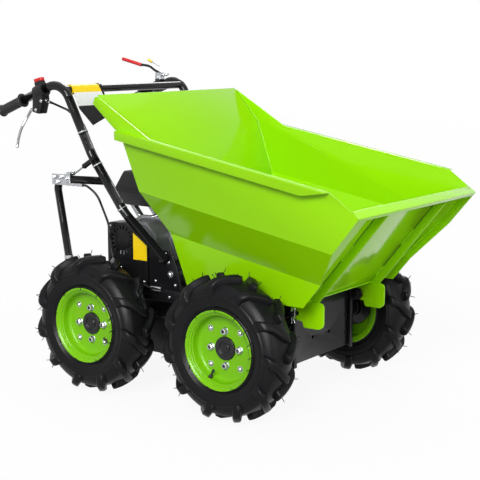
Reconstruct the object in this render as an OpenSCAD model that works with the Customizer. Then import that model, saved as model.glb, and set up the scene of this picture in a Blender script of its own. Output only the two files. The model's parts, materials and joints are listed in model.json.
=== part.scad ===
// Walk-behind four-wheel site dumper with a forward tipping skip.
// X points forward, Y to the machine's left, Z up. The origin is on the ground under the machine's middle.
// Chassis, engine and handlebar are measured from a mark on the deck, the skip from the front axle.

/* [Wheels] */
// Distance between the front and rear axles
wheel_base = 516; // [480:1:560]
// Distance of the deck mark behind the front axle
mark_back = 516; // [508:1:524]
// Distance between the tyre centres of one axle
track = 682; // [660:1:740]
// Tyre diameter over the lugs
tyre_d = 430; // [410:1:440]
// Tyre section width
tyre_w = 122; // [116:1:132]
// Height of the tyre lugs over the carcass
lug_h = 17; // [14:0.5:20]
// Lugs on each side of a tyre
lug_count = 11; // [9:1:12]
// Width of a lug
lug_w = 36; // [30:1:40]
// How far a lug runs round the tyre from its shoulder to the middle of the tread
lug_sweep = 58; // [48:1:64]
// Tyre wall thickness
tyre_wall = 9; // [6:0.5:12]
// Diameter over the rim flanges
rim_d = 233; // [222:1:240]
// Width over the rim flanges
rim_w = 104; // [96:1:112]
// Diameter of the seat for the tyre beads
bead_d = 203; // [198:1:208]
// Sheet thickness of the rim
rim_wall = 3; // [2:0.5:4]
// Distance of the rim disc's outer face from the tyre's centre plane
disc_out = 14; // [4:1:24]
// Thickness of the rim disc
disc_t = 5; // [4:0.5:8]
// Diameter of the hub's centre boss
hub_d = 68; // [60:1:74]
// Diameter of the hub flange behind the rim disc
hub_flange_d = 128; // [118:1:140]
// Thickness of the hub flange
hub_flange_t = 8; // [6:0.5:12]
// Diameter of the wheel shaft
shaft_d = 30; // [24:1:36]
// Diameter of the axle tubes
axle_tube_d = 60; // [52:1:70]
// Diameter of the bolting flange of an axle tube
axle_flange_d = 100; // [90:1:110]

/* [Chassis] */
// Distance of the chassis tub's sides inside the edges of the skip floor
tub_inset = 89; // [84:1:96]
// Height of the top of the tub above the ground
tub_top = 317; // [302:1:319]
// Height of the belly above the ground
belly_z = 97; // [87:1:127]
// Sheet thickness of the tub
tub_wall = 4; // [3:0.5:6]
// Rear end of the tub behind the deck mark
tub_rear = 150; // [130:1:190]
// Front plate ahead of the front axle
tub_front = 93; // [85:1:96]
// Length of the side walls ahead of the front plate
cheek_l = 13; // [8:1:18]
// Inward flange at the front of the side walls
cheek_flange = 16; // [12:1:24]
// Height of the lower edge of the front plate
front_low = 135; // [128:1:160]
// Distance between the engine deck and the inner sides of the tyres
deck_clear = 52; // [46:1:60]
// Thickness of the engine deck
deck_t = 4; // [3:0.5:6]
// Rear overhang of the deck behind the deck mark
deck_rear = 228; // [215:1:240]
// Front end of the wide part of the deck, from the deck mark
deck_front = 262; // [255:1:275]
// Depth of the deck's side skirts
skirt_h = 34; // [25:1:45]
// Diameter of the two holes in the front plate
tow_hole_d = 11; // [9:0.5:14]
// Distance between the two holes in the front plate
tow_pitch = 92; // [70:1:120]
// Height of the two holes above the ground
tow_z = 199; // [182:1:217]

/* [Skip pivot] */
// Pivot height above the ground
pivot_z = 301; // [297:1:303]
// Pivot ahead of the front axle
pivot_x = 120; // [118:1:126]
// Pivot pin diameter
pin_d = 16; // [12:1:18]
// Radius of the ear and lug around the pin
lug_r = 20; // [16:1:22]
// Thickness of the skip's pivot ears
ear_t = 6; // [5:0.5:8]
// Gap between the tub and the ears
ear_gap = 5; // [4:0.5:7]

/* [Skip] */
// Sheet thickness of the skip
sheet = 3; // [2.5:0.5:4]
// Height of the underside of the skip floor
floor_z = 339; // [335:1:347]
// Rear edge of the skip floor, from the front axle
floor_rear = -214; // [-220:1:-196]
// Front edge of the side panels at the floor, from the front axle
floor_front = 195; // [189:1:209]
// Reach of the front lip, from the front axle
lip_x = 423; // [404:1:444]
// Height of the front lip
lip_z = 620; // [607:1:637]
// Front end of the rim, from the front axle
rim_front = 334; // [314:1:349]
// Height of the rim at its front end
rim_front_z = 683; // [672:1:697]
// Rear end of the rim, where the wing rises, from the front axle
rim_rear = -280; // [-296:1:-266]
// Height of the rim at its rear end
rim_rear_z = 792; // [782:1:802]
// Rear tip of the wings, from the front axle
wing_x = -488; // [-501:1:-471]
// Height of the wings
wing_z = 913; // [897:1:927]
// Fold in the rear wall, from the front axle
fold_x = -392; // [-398:1:-386]
// Height of the fold in the rear wall
fold_z = 805; // [797:1:813]
// Distance between the skip's lower folds and the inner sides of the tyres
skip_clear = 22; // [16:1:26]
// How far the skip narrows from its lower folds down to its floor
floor_in = 4; // [2:1:8]
// How far the side panels flare out between their folds
flare = 83; // [72:1:86]
// How far the side panels flare out from the upper fold to the rim
rim_lean = 8; // [6:1:12]
// Lower fold below the rim, square to the rim
low_drop = 283; // [270:1:295]
// Upper fold below the rim, square to the rim
mid_drop = 162; // [150:1:175]
// Width of the rim flange
rim_out = 22; // [16:1:28]
// Depth of the rim flange's down-turned lip
rim_down = 26; // [18:1:32]
// Recess of the front wall behind the edge of the side panels
front_recess = 26; // [20:1:32]
// Down-turn at the front lip
lip_down = 14; // [8:1:18]
// Thickness of the ribs on the front wall
rib_t = 5; // [4:0.5:8]

/* [Handlebar] */
// Diameter of the handlebar tubes
tube_d = 28; // [24:1:30]
// Lower end of a handlebar tube, from the deck mark
bar_low_x = 203; // [190:1:215]
// Height of the lower end
bar_low_z = 417; // [397:1:437]
// First bend, from the deck mark
bar_bend_x = 36; // [20:1:50]
// Height of the first bend
bar_bend_z = 552; // [537:1:567]
// Upper slight bend behind the deck mark
bar_mid_x = -64; // [-80:1:-50]
// Height of the upper slight bend
bar_mid_z = 726; // [707:1:747]
// Crest behind the deck mark
bar_top_x = -170; // [-185:1:-160]
// Height of the crest's corner
bar_top_z = 953; // [937:1:967]
// Bend radius at the crest
bar_top_r = 65; // [50:1:70]
// End of the grips behind the deck mark
grip_end_x = -442; // [-460:1:-430]
// Height of the grip ends
grip_end_z = 849; // [832:1:862]
// Half distance between the grips
grip_y = 290; // [280:1:300]
// Length of a grip
grip_l = 108; // [95:1:120]
// Diameter of a grip
grip_d = 34; // [32:1:38]
// Diameter of the cross bar
cross_d = 24; // [20:1:26]
// Side brace corner behind the deck mark
brace_x = -246; // [-260:1:-235]
// Height of the side brace
brace_z = 636; // [617:1:657]
// Diameter of the brace tubes
brace_d = 25; // [22:1:28]

/* [Engine] */
// Crankshaft behind the front axle
crank_back = 528; // [522:1:536]
// Height of the crankshaft above the deck
crank_up = 81; // [76:1:88]
// Length of the crankcase
case_l = 185; // [175:1:190]
// Width of the crankcase
case_w = 200; // [190:1:206]
// Height of the crankcase above the deck
case_h = 184; // [176:1:190]
// Lean of the cylinder from upright
lean = 65; // [60:1:68]
// Length of the cylinder barrel
barrel_l = 96; // [90:1:100]
// Height of the cylinder head
head_l = 44; // [38:1:48]
// Width over the cooling fins
fin_w = 114; // [104:1:120]
// Height over the cooling fins
fin_h = 96; // [88:1:100]
// Thickness of the fan shroud
shroud_t = 38; // [32:1:44]
// Radius of the recoil starter
starter_r = 76; // [68:1:80]
// Length of the fuel tank
tank_l = 205; // [190:1:215]
// Width of the fuel tank
tank_w = 202; // [190:1:210]
// Height of the fuel tank
tank_h = 113; // [100:1:120]
// Underside of the fuel tank above the deck
tank_up = 223; // [216:1:230]
// Length of the muffler
muffler_l = 84; // [76:1:88]
// Length of the air cleaner
cleaner_l = 80; // [72:1:84]
// Underside of the muffler and the air cleaner above the deck
box_up = 202; // [198:1:208]
// Rear end of the belt guard behind the deck mark
guard_rear = 46; // [40:1:52]
// Front end of the belt guard
guard_front = 118; // [112:1:120]
// Height of the belt guard above the deck
guard_h = 192; // [184:1:198]
// Height of the belt guard at its front end
guard_front_h = 136; // [128:1:144]
// Depth of the belt guard
guard_depth = 46; // [40:1:50]
// Sheet thickness of the belt guard
guard_wall = 2; // [1.5:0.5:3]

/* [Hidden] */
$fn = 48;

// Clearances: between pieces that are bolted or welded, between pieces that move, and of a shaft in its bore
seat_gap = 0.2;
move_gap = 5;
run_fit = 0.05;
// Cutting tools reach this far past the faces they cut
past = 1;
black = "#1d1e20";
green = "#8cd219";
steel = "#b9bcc0";
rubber = "#232426";
red = "#c9252d";
yellow = "#e8c92a";
grey = "#8f9499";

axle_z = tyre_d / 2;
front_axle_x = mark_back;
rear_axle_x = front_axle_x - wheel_base;
tyre_in = track / 2 - tyre_w / 2;
half_low = tyre_in - skip_clear;
half_floor = half_low - floor_in;
half_mid = half_low + flare;
half_top = half_mid + rim_lean;
tub_y = half_floor - tub_inset;
deck_y = tyre_in - deck_clear;
front_x = front_axle_x + tub_front;
pin_x = front_axle_x + pivot_x;
deck_z = tub_top + deck_t;
leg_y = deck_y + tube_d / 2 + seat_gap;
ear_in = tub_y + ear_gap;
rib_y = ear_in + ear_t / 2;
grip_tilt = atan2(bar_top_z - grip_end_z, bar_top_x - grip_end_x);
reach_rear = grip_end_x - grip_d / 2 * sin(grip_tilt);
datum_x = -(front_axle_x + lip_x + reach_rear) / 2;

module datum() {
    translate([datum_x, 0, 0]) children();
}
module skip_datum() {
    datum() translate([front_axle_x, 0, 0]) children();
}

// Points and vectors
function unit(v) = v / norm(v);
function lerp(a, b, t) = a + (b - a) * t;

// Corner b of the path a-b-c, rounded with radius r by n chords
function corner(a, b, c, r, n) =
    let (u = unit(a - b), v = unit(c - b), half = acos(u * v) / 2,
         mid = b + unit(u + v) * r / sin(half),
         p = b + u * r / tan(half) - mid,
         q = b + v * r / tan(half) - mid,
         a0 = atan2(p.y, p.x), turn = atan2(p.x * q.y - p.y * q.x, p * q))
    [for (k = [0:n]) mid + r * [cos(a0 + turn * k / n), sin(a0 + turn * k / n)]];
function rounded(pts, r, n = 4) =
    let (m = len(pts))
    [for (i = [0:m - 1]) each corner(pts[(i + m - 1) % m], pts[i], pts[(i + 1) % m], r, n)];

// Plane shape in x and z, made a plate from y0 to y1
module plate_xz(y0, y1) {
    translate([0, y1, 0]) rotate([90, 0, 0]) linear_extrude(y1 - y0) children();
}
// Plane shape in y and z, made a plate from x0 to x1
module plate_yz(x0, x1) {
    translate([x0, 0, 0]) rotate([90, 0, 90]) linear_extrude(x1 - x0) children();
}
module box(low, high) {
    translate(low) cube(high - low);
}
module rod(p, q, d) {
    v = q - p;
    translate(p) rotate([0, acos(v.z / norm(v)), atan2(v.y, v.x)]) cylinder(h = norm(v), d = d);
}
// Round knob at q, turned about the line from p to q
module knob(p, q, d) {
    v = q - p;
    translate(q) rotate([0, acos(v.z / norm(v)), atan2(v.y, v.x)]) sphere(d = d);
}
module both_sides() {
    children();
    mirror([0, 1, 0]) children();
}

// Round bar along a path of points, with a bend radius at each inner point. A bend is thicker by bend_step,
// and the straight stretches run bend_lap into it, so that each bend takes in the ends of its neighbours.
bend_step = 0.3;
bend_lap = 2;
function turn_at(pts, i) = acos(unit(pts[i] - pts[i - 1]) * unit(pts[i + 1] - pts[i]));
function trim_at(pts, radii, i) =
    i == 0 || i == len(pts) - 1 ? 0 : radii[i - 1] * tan(turn_at(pts, i) / 2) - bend_lap;
module bent_bar(pts, radii, d) {
    for (i = [0:len(pts) - 2]) {
        along = unit(pts[i + 1] - pts[i]);
        rod(pts[i] + along * trim_at(pts, radii, i), pts[i + 1] - along * trim_at(pts, radii, i + 1), d);
    }
    for (i = [1:len(pts) - 2]) {
        along = unit(pts[i] - pts[i - 1]);
        axis = unit(cross(along, unit(pts[i + 1] - pts[i])));
        inward = cross(axis, along);
        mid = pts[i] - along * (trim_at(pts, radii, i) + bend_lap) + inward * radii[i - 1];
        multmatrix([
            [-inward.x, along.x, axis.x, mid.x],
            [-inward.y, along.y, axis.y, mid.y],
            [-inward.z, along.z, axis.z, mid.z],
            [0, 0, 0, 1]
        ]) rotate_extrude(angle = turn_at(pts, i)) translate([radii[i - 1], 0]) circle(d = d + bend_step);
    }
}

// Chassis

// Side view of the tub with its walls moved in by t: the belly rises gently to the front plate and steeply
// to the rear wall
nose_slope = 18;
tail_slope = 45;
module tub_outline(t) {
    rise = front_low - belly_z;
    top = tub_top + (t > 0 ? past : 0);
    function corner_up(slope) = front_low + t * tan((90 - slope) / 2);
    function knee(slope) = rise / tan(slope) + t * tan(slope / 2);
    polygon([
        [-tub_rear + t, top], [front_x - t, top], [front_x - t, corner_up(nose_slope)],
        [front_x - knee(nose_slope), belly_z + t], [-tub_rear + knee(tail_slope), belly_z + t],
        [-tub_rear + t, corner_up(tail_slope)]
    ]);
}
module cheek() {
    box([front_x - tub_wall, tub_y - tub_wall, front_low - cheek_l / 2], [front_x + cheek_l, tub_y, tub_top]);
    box([front_x + cheek_l - tub_wall, tub_y - cheek_flange, front_low - cheek_l / 2],
        [front_x + cheek_l, tub_y, tub_top]);
}
// Doubled lug on a side wall for the pivot pin
lug_t = 2.5 * tub_wall;
module pivot_lug() {
    plate_xz(tub_y - lug_t, tub_y) {
        translate([pin_x, pivot_z]) circle(lug_r);
        translate([front_x - lug_r, pivot_z - lug_r]) square([pin_x - front_x + lug_r, 2 * lug_r]);
    }
}
module pin_hole(x) {
    translate([x, 0, pivot_z]) rotate([90, 0, 0]) cylinder(h = 2 * track, d = pin_d, center = true);
}
module chassis_tub() color(black) datum() difference() {
    union() {
        difference() {
            plate_xz(-tub_y, tub_y) tub_outline(0);
            plate_xz(-tub_y + tub_wall, tub_y - tub_wall) tub_outline(tub_wall);
        }
        both_sides() {
            cheek();
            intersection() {
                pivot_lug();
                box([0, 0, 0], [pin_x + 2 * lug_r, track, tub_top]);
            }
        }
    }
    pin_hole(pin_x);
    both_sides() translate([front_x, tow_pitch / 2, tow_z]) rotate([0, 90, 0])
        cylinder(h = 4 * tub_wall, d = tow_hole_d, center = true);
}
module engine_deck() color(black) datum() {
    low = tub_top - skirt_h;
    mid = tub_top + deck_t / 2;
    box([-deck_rear, -deck_y, tub_top], [deck_front, deck_y, deck_z]);
    box([deck_front, -tub_y, tub_top], [front_x - tub_wall, tub_y, deck_z]);
    both_sides() box([-deck_rear, deck_y - deck_t, low], [deck_front, deck_y, mid]);
    box([-deck_rear, -deck_y, low], [-deck_rear + deck_t, deck_y, mid]);
}
// Room left round the gearbox inside the tub
gear_room = 60;
module gearbox() color(grey) datum()
    box([-tub_rear + gear_room, -tub_y + gear_room / 2, belly_z + tub_wall],
        [front_axle_x - gear_room, tub_y - gear_room / 2, tub_top - gear_room]);

// Inner end of the hub, inner end of the wheel shaft and outer end of an axle tube, from the middle
hub_back = 24;
hub_in = track / 2 + disc_out - disc_t - hub_flange_t - hub_back;
shaft_in = tub_y + axle_tube_d / 2;
tube_end = hub_in - move_gap;
flange_t = 10;
module axle_tubes(x) {
    translate([x, 0, axle_z]) both_sides() rotate([-90, 0, 0]) difference() {
        union() {
            translate([0, 0, tub_y]) cylinder(h = tube_end - tub_y, d = axle_tube_d);
            translate([0, 0, tub_y]) cylinder(h = flange_t, d = axle_flange_d);
        }
        translate([0, 0, shaft_in - move_gap]) cylinder(h = tube_end, d = shaft_d + 2 * run_fit);
    }
}
module front_axle_tubes() color(black) datum() axle_tubes(front_axle_x);
module rear_axle_tubes() color(black) datum() axle_tubes(rear_axle_x);

pin_past = 30;
pin_head = 6;
pin_out = ear_in + ear_t + pin_past;
module pivot_pins() color(black) datum() translate([pin_x, 0, pivot_z]) both_sides() rotate([-90, 0, 0]) {
    head_in = tub_y - lug_t - pin_head;
    translate([0, 0, head_in]) cylinder(h = pin_head - seat_gap, d = pin_d + 10);
    translate([0, 0, head_in]) cylinder(h = pin_out - head_in, d = pin_d - 2 * run_fit);
}
// Rubber pads on the deck under the skip floor
pad_l = 60;
pad_w = 50;
pad_gap = 0.3;
module rest_pads() color(rubber) datum()
    for (x = [front_axle_x + floor_rear + 2 * pad_l / 3, front_axle_x])
        both_sides() translate([x - pad_l / 2, tub_y - 1.4 * pad_w, deck_z])
            cube([pad_l, pad_w, floor_z - pad_gap - deck_z]);

// Engine: crankshaft across the machine, cylinder leaning forward

// Right-hand and left-hand faces of the crankcase, clear of the belt guard and under the fan shroud
boss_l = 28;
boss_d = 60;
case_right = -deck_y + guard_depth + 1.5 * boss_l;
case_left = case_right + case_w;
case_mid = (case_right + case_left) / 2;
crank_x = front_axle_x - crank_back;
crank_z = deck_z + crank_up;
case_top = deck_z + case_h;
case_rear = crank_x - case_l / 2;
case_front = crank_x + case_l / 2;
foot_h = 15;
case_slope = 40;
barrel_off = 20;
tank_low = deck_z + tank_up;
box_low = deck_z + box_up;
// Barrel and head across the fins, a fin's thickness and the distance between two fins
fin_out = 14;
fin_t = 5;
fin_pitch = 10;
head_edge = 10;
cover_edge = 16;
cover_l = 16;
plug_l = 22;
plug_d = 14;
// Local frame of the cylinder: Z along the cylinder, X down and forward
module on_cylinder(along) {
    translate([crank_x + barrel_l / 2, case_mid + barrel_off, crank_z]) rotate([0, lean, 0])
        translate([0, 0, along]) children();
}
module centred(size) {
    translate([-size.x / 2, -size.y / 2, 0]) cube(size);
}
module fins(from, count) {
    for (k = [0:count - 1]) on_cylinder(from + k * fin_pitch) centred([fin_h, fin_w, fin_t]);
}
module engine_block() color(grey) datum() {
    low = deck_z + foot_h;
    plate_xz(case_right, case_left) polygon(rounded([
        [case_rear, low - past], [case_front, low - past], [case_front, case_top - case_slope],
        [case_front - case_slope, case_top], [case_rear + case_slope, case_top],
        [case_rear, case_top - case_slope]
    ], 14));
    box([case_rear - 5, case_right - 10, deck_z], [case_front + 6, case_left, low]);
    translate([crank_x, case_right, crank_z]) rotate([90, 0, 0]) cylinder(h = boss_l, d = boss_d);
    on_cylinder(0) centred([fin_h - 2 * fin_out, fin_w - 2 * fin_out, barrel_l]);
    fins(barrel_l - 5 * fin_pitch + fin_t / 2, 5);
}
module cylinder_head() color(grey) datum() {
    on_cylinder(barrel_l) centred([fin_h - 2 * head_edge, fin_w - 2 * head_edge, head_l]);
    fins(barrel_l + fin_pitch - fin_t / 2, 3);
    on_cylinder(barrel_l + head_l - past) {
        centred([fin_h - 2 * cover_edge, fin_w - 2 * cover_edge, cover_l + past]);
        translate([fin_h / 4, fin_w / 4, 0]) cylinder(h = cover_l + plug_l + past, d = plug_d);
    }
}
shroud_up = 20;
shroud_out = 12;
shroud_mid = 45;
module fan_shroud() color(black) datum() plate_xz(case_left, case_left + shroud_t) polygon(rounded([
    [case_rear, deck_z + shroud_up], [case_front, deck_z + shroud_up],
    [case_front + shroud_out, crank_z + shroud_mid], [crank_x + tank_l / 3, tank_low],
    [crank_x - tank_l / 3, tank_low], [case_rear - shroud_out / 2, crank_z + shroud_mid]
], 18));
// Recoil starter: stepped cover with a ring of air slots and a pull handle
starter_t = 26;
cone_h = 20;
cone_in = 6;
slot_w = 8;
cup_r = 30;
cup_h = 28;
cord_d = 14;
cord_l = 12;
handle = [40, 16, 14];
module recoil_starter() color(black) datum()
    translate([crank_x, case_left + shroud_t, crank_z]) rotate([-90, 0, 0]) {
        difference() {
            union() {
                cylinder(h = starter_t, r = starter_r);
                translate([0, 0, starter_t - past])
                    cylinder(h = cone_h, r1 = starter_r - cone_in, r2 = starter_r - cone_in - 0.8 * cone_h);
            }
            for (a = [0:30:330]) rotate([0, 0, a])
                translate([starter_r / 2, -slot_w / 2, starter_t / 2])
                    cube([starter_r / 3, slot_w, 2 * starter_t]);
        }
        translate([0, 0, starter_t]) cylinder(h = cup_h, r = cup_r);
        translate([0, 0, starter_t + cup_h - past]) cylinder(h = cord_l, d = cord_d);
        translate([0, 0, starter_t + cup_h + cord_l - 2 * past]) centred(handle);
    }
// Outline of the fuel tank: widest at its seam, drawn in towards the bottom and the top
tank_seam = 52;
seam_h = 16;
tank_back = 16;
tank_y = case_mid + tank_w / 4 - 5;
cap_d = 58;
cap_h = 20;
module tank_outline(half, low_in, top_in) polygon(rounded([
    [-half + low_in, 0], [half - low_in, 0], [half, tank_seam - seam_h / 2], [half, tank_seam + seam_h / 2],
    [half - top_in, tank_h], [-half + top_in, tank_h], [-half, tank_seam + seam_h / 2],
    [-half, tank_seam - seam_h / 2]
], 9, 3));
module fuel_tank() color(black) datum()
    translate([crank_x - tank_back, tank_y, tank_low]) {
        intersection() {
            plate_xz(-tank_w, tank_w) tank_outline(tank_l / 2, 24, 22);
            plate_yz(-tank_l, tank_l) tank_outline(tank_w / 2, 20, 18);
        }
        translate([0, 0, tank_h - past]) cylinder(h = cap_h / 2, d = 0.75 * cap_d);
        translate([0, 0, tank_h]) cylinder(h = cap_h, d = cap_d);
    }
// Two bent stays that carry the tank on the crankcase
stay_t = 8;
stay_w = 20;
module tank_stays() color(grey) datum() for (y = [tank_y - tank_w / 4, tank_y + tank_w / 8])
    plate_xz(y - stay_w, y) {
        top_x = crank_x - tank_l / 3;
        low_x = crank_x - tank_l / 4;
        end_x = crank_x + tank_l / 4;
        polygon([
            [top_x, tank_low], [top_x - 2 * stay_t, tank_low], [low_x, case_top], [end_x, case_top],
            [end_x + stay_t, case_top + stay_t], [low_x + 1.2 * stay_t, case_top + stay_t]
        ]);
    }
stub_y = 36;
stub_l = 50;
stub_in = 12;
// Stub pipe from the upper side of the head, at y from the cylinder's middle
module head_stub(y, d) {
    on_cylinder(barrel_l + head_l - stub_in) translate([-fin_h / 2, y, 0])
        rotate([0, -90, 0]) cylinder(h = stub_l, d = d);
}
box_rear = case_front + 16;
box_w = 94;
box_gap = 22;
box_split = case_mid + 12;
module air_cleaner() color(black) datum() {
    top = box_low + 1.25 * cleaner_l;
    plate_xz(box_split - box_w, box_split) polygon(rounded([
        [box_rear, box_low], [box_rear + cleaner_l, box_low], [box_rear + cleaner_l, top - 44],
        [box_rear + cleaner_l - 26, top], [box_rear + 8, top], [box_rear, top - 26]
    ], 10));
    head_stub(-stub_y, 34);
}
module muffler() color(steel) datum() {
    from = box_split + box_gap;
    mid_z = box_low + muffler_l / 2;
    plate_xz(from, from + box_w) polygon(rounded([
        [box_rear, box_low], [box_rear + muffler_l, box_low],
        [box_rear + muffler_l, box_low + muffler_l], [box_rear, box_low + muffler_l]
    ], 16));
    head_stub(stub_y, 28);
    rod([box_rear + muffler_l / 3, from, mid_z], [box_rear + muffler_l / 3, from + box_w + 26, mid_z], 26);
}

// Belt guard on the right-hand side of the engine, with a ring of air slots and a hole for the crankshaft
vent_x = 14;
vent_up = 138;
vent_r = 40;
vent_l = 12;
vent_w = 5;
guard_top_x = 27;
module guard_outline(t) {
    top = deck_z + guard_h - t;
    polygon(rounded([
        [-guard_rear + t, deck_z + t], [guard_front - t, deck_z + t],
        [guard_front - t, deck_z + guard_front_h - 0.6 * t],
        [guard_top_x - 0.6 * t, top], [-guard_rear + t, top]
    ], 16));
}
module belt_guard() color(black) datum() difference() {
    plate_xz(-deck_y, -deck_y + guard_depth) guard_outline(0);
    plate_xz(-deck_y + guard_wall, -deck_y + guard_depth - guard_wall) guard_outline(guard_wall);
    for (a = [0:20:340]) translate([vent_x, -deck_y, deck_z + vent_up]) rotate([0, a, 0])
        translate([vent_r - vent_l / 2, -past, -vent_w / 2]) cube([vent_l, guard_wall + 2 * past, vent_w]);
    translate([crank_x, -deck_y + guard_depth + past, crank_z]) rotate([90, 0, 0])
        cylinder(h = 2 * guard_wall + past, d = boss_d);
}

// Handlebar

bar_path = [
    [bar_low_x, -leg_y, bar_low_z], [bar_bend_x, -leg_y, bar_bend_z],
    [bar_mid_x, -lerp(leg_y, grip_y, 0.7), bar_mid_z], [bar_top_x, -grip_y, bar_top_z],
    [grip_end_x, -grip_y, grip_end_z]
];
bar_radii = [140, 300, bar_top_r];
module handlebar(d) bent_bar(bar_path, bar_radii, d);
module handlebar_right() color(black) datum() handlebar(tube_d);
module handlebar_left() color(black) datum() mirror([0, 1, 0]) handlebar(tube_d);

// Point on the grip line, at x
function grip_line(x, side) = [x, side * grip_y, grip_end_z + (x - grip_end_x) * tan(grip_tilt)];
module on_grip(x, side) {
    translate(grip_line(x, side)) rotate([0, -90 - grip_tilt, 0]) children();
}
// Axes on a grip: X forward along the grip line, Z square to it
module grip_axes(x, side) {
    translate(grip_line(x, side)) rotate([0, -grip_tilt, 0]) children();
}
bracket_t = 4;
bracket_up = 28;
bracket_gap = 8;
bracket_in = 6;
module handlebar_brackets() color(black) datum() both_sides() {
    rear = guard_front + bracket_gap;
    plate_xz(deck_y - bracket_t, deck_y) polygon(rounded([
        [rear, deck_z], [deck_front - bracket_in, deck_z],
        [deck_front - 4 * bracket_in, bar_low_z - bracket_up],
        [bar_low_x + bracket_in, bar_low_z + bracket_up], [rear, bar_low_z + bracket_up]
    ], 10));
}
// Cross bar a third of the way round the crest
cross_at = corner([bar_mid_x, bar_mid_z], [bar_top_x, bar_top_z], [grip_end_x, grip_end_z], bar_top_r, 3)[1];
module cross_bar() color(black) datum() difference() {
    rod([cross_at.x, -grip_y, cross_at.y], [cross_at.x, grip_y, cross_at.y], cross_d);
    both_sides() handlebar(tube_d + 2 * seat_gap);
}
panel_tilt = atan2(bar_mid_x - bar_top_x, bar_top_z - bar_mid_z);
// Sign panel: a sleeve round the cross bar with a pointed plate under it
sign_w = 120;
sign_h = 128;
sign_t = 4;
module label_panel() color(yellow) datum()
    translate([cross_at.x, 0, cross_at.y]) rotate([0, -panel_tilt, 0]) {
    sleeve_d = cross_d + 2 * sign_t;
    out_y = -grip_y + tube_d;
    in_y = out_y + sign_w;
    difference() {
        union() {
            rod([0, out_y, 0], [0, in_y, 0], sleeve_d);
            plate_yz(sleeve_d / 2 - sign_t, sleeve_d / 2) polygon([
                [out_y, 0], [in_y, 0], [in_y + 12, -0.75 * sign_h], [out_y + 34, -sign_h],
                [out_y, -0.55 * sign_h]
            ]);
        }
        rod([0, out_y - past, 0], [0, in_y + past, 0], cross_d + 2 * seat_gap);
    }
}
grip_cap = 4;
grip_collar = 5;
module grips() color(rubber) datum() both_sides() on_grip(grip_end_x, -1) difference() {
    union() {
        translate([0, 0, -grip_l]) cylinder(h = grip_l + grip_cap, d = grip_d);
        translate([0, 0, -grip_l]) cylinder(h = grip_collar, d = grip_d + 12);
    }
    translate([0, 0, -grip_l - past]) cylinder(h = grip_l + past, d = tube_d + 2 * seat_gap);
}
clamp_d = tube_d + 16;
module grip_clamp(x, side, w) {
    on_grip(x, side) difference() {
        translate([0, 0, -w / 2]) cylinder(h = w, d = clamp_d);
        cylinder(h = 2 * w, d = tube_d + 2 * seat_gap, center = true);
    }
}
// Hand controls on the two grips, at control_x
control_x = -262;
control_gap = 0.3;
module housing_outline(t) polygon(rounded([
    [-22.5 - t, 2], [-47.5 - t, -52.5], [-20, -69.5 - t], [8 + t, -35 - t], [16 + t, -8.5]
], 5));
housing_w = 32;
module switch_housing() color(black) datum() difference() {
    union() {
        grip_clamp(control_x, -1, 40);
        grip_axes(control_x, -1) plate_xz(-housing_w / 2, housing_w / 2) housing_outline(0);
    }
    on_grip(control_x, -1) cylinder(h = 160, d = tube_d + 2 * seat_gap, center = true);
}
module kill_switch() color(red) datum() on_grip(control_x, -1) rotate([0, 90, 0]) {
    seat = clamp_d / 2 + seat_gap;
    translate([0, 0, seat]) cylinder(h = 9, d = 16);
    translate([0, 0, seat + 8]) cylinder(h = 6, d = 24);
}
lever_bar = 9;
brake_root = [-44.7, 0, -45];
brake_bends = [[0, 0, 0], [-17, 0, 6.5], [-97, 0, -40], [-129, 0, -83]];
brake_radii = [16, 120];
module brake_lever() color(steel) datum() grip_axes(control_x, -1) {
    path = [for (p = brake_bends) brake_root + p];
    bent_bar(path, brake_radii, lever_bar);
    knob(path[2], path[3], lever_bar + 2);
}
mount_up = 46;
mount_l = 28;
mount_w = 18;
module clutch_mount() color(steel) datum() difference() {
    p = grip_line(control_x, 1);
    union() {
        grip_clamp(control_x, 1, 34);
        translate([p.x, p.y, p.z + mount_up / 4]) centred([mount_l, mount_w, 0.75 * mount_up]);
    }
    on_grip(control_x, 1) cylinder(h = 160, d = tube_d + 2 * seat_gap, center = true);
}
clutch_foot = grip_line(control_x, 1) + [-mount_l / 2 - control_gap, 0, mount_up - lever_bar];
clutch_bend = [-16, 0, 0];
clutch_tip = [-162, 0, 57];
clutch_r = 14;
module clutch_lever() color(red) datum() {
    bend = clutch_foot + clutch_bend;
    tip = clutch_foot + clutch_tip;
    mid = lerp(bend, tip, 0.35);
    bent_bar([clutch_foot, bend, tip], [clutch_r], lever_bar);
    rod(mid, tip, lever_bar + 2);
    knob(mid, tip, lever_bar + 3);
}
tip_bar = 6;
tip_bends = [[0, 0, 0], [0, 0, 10], [-34, 0, 27]];
tip_r = 8;
module trigger_tip() color(yellow) datum() {
    foot = grip_line(control_x, 1) + [tip_bar, 0, mount_up + control_gap];
    bent_bar([for (p = tip_bends) foot + p], [tip_r], tip_bar);
    knob(foot + tip_bends[1], foot + tip_bends[2], 2 * tip_bar);
}

// Side braces from the handlebar tubes back and down to the deck

brace_rise = 9;
brace_out = 6;
brace_run = 41;
brace_foot = 70;
brace_radii = [34, 120];
brace_t = (brace_z + brace_rise - bar_bend_z) / (bar_mid_z - bar_bend_z);
brace_path = [
    lerp(bar_path[1], bar_path[2], brace_t), [brace_x, -leg_y - brace_out, brace_z],
    [brace_x + brace_run, -leg_y, tub_top + brace_foot],
    [brace_x + brace_run + brace_out, -leg_y, tub_top - skirt_h + brace_out]
];
module side_braces() color(black) datum() both_sides() difference() {
    bent_bar(brace_path, brace_radii, brace_d);
    handlebar(tube_d + 2 * seat_gap);
}
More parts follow.
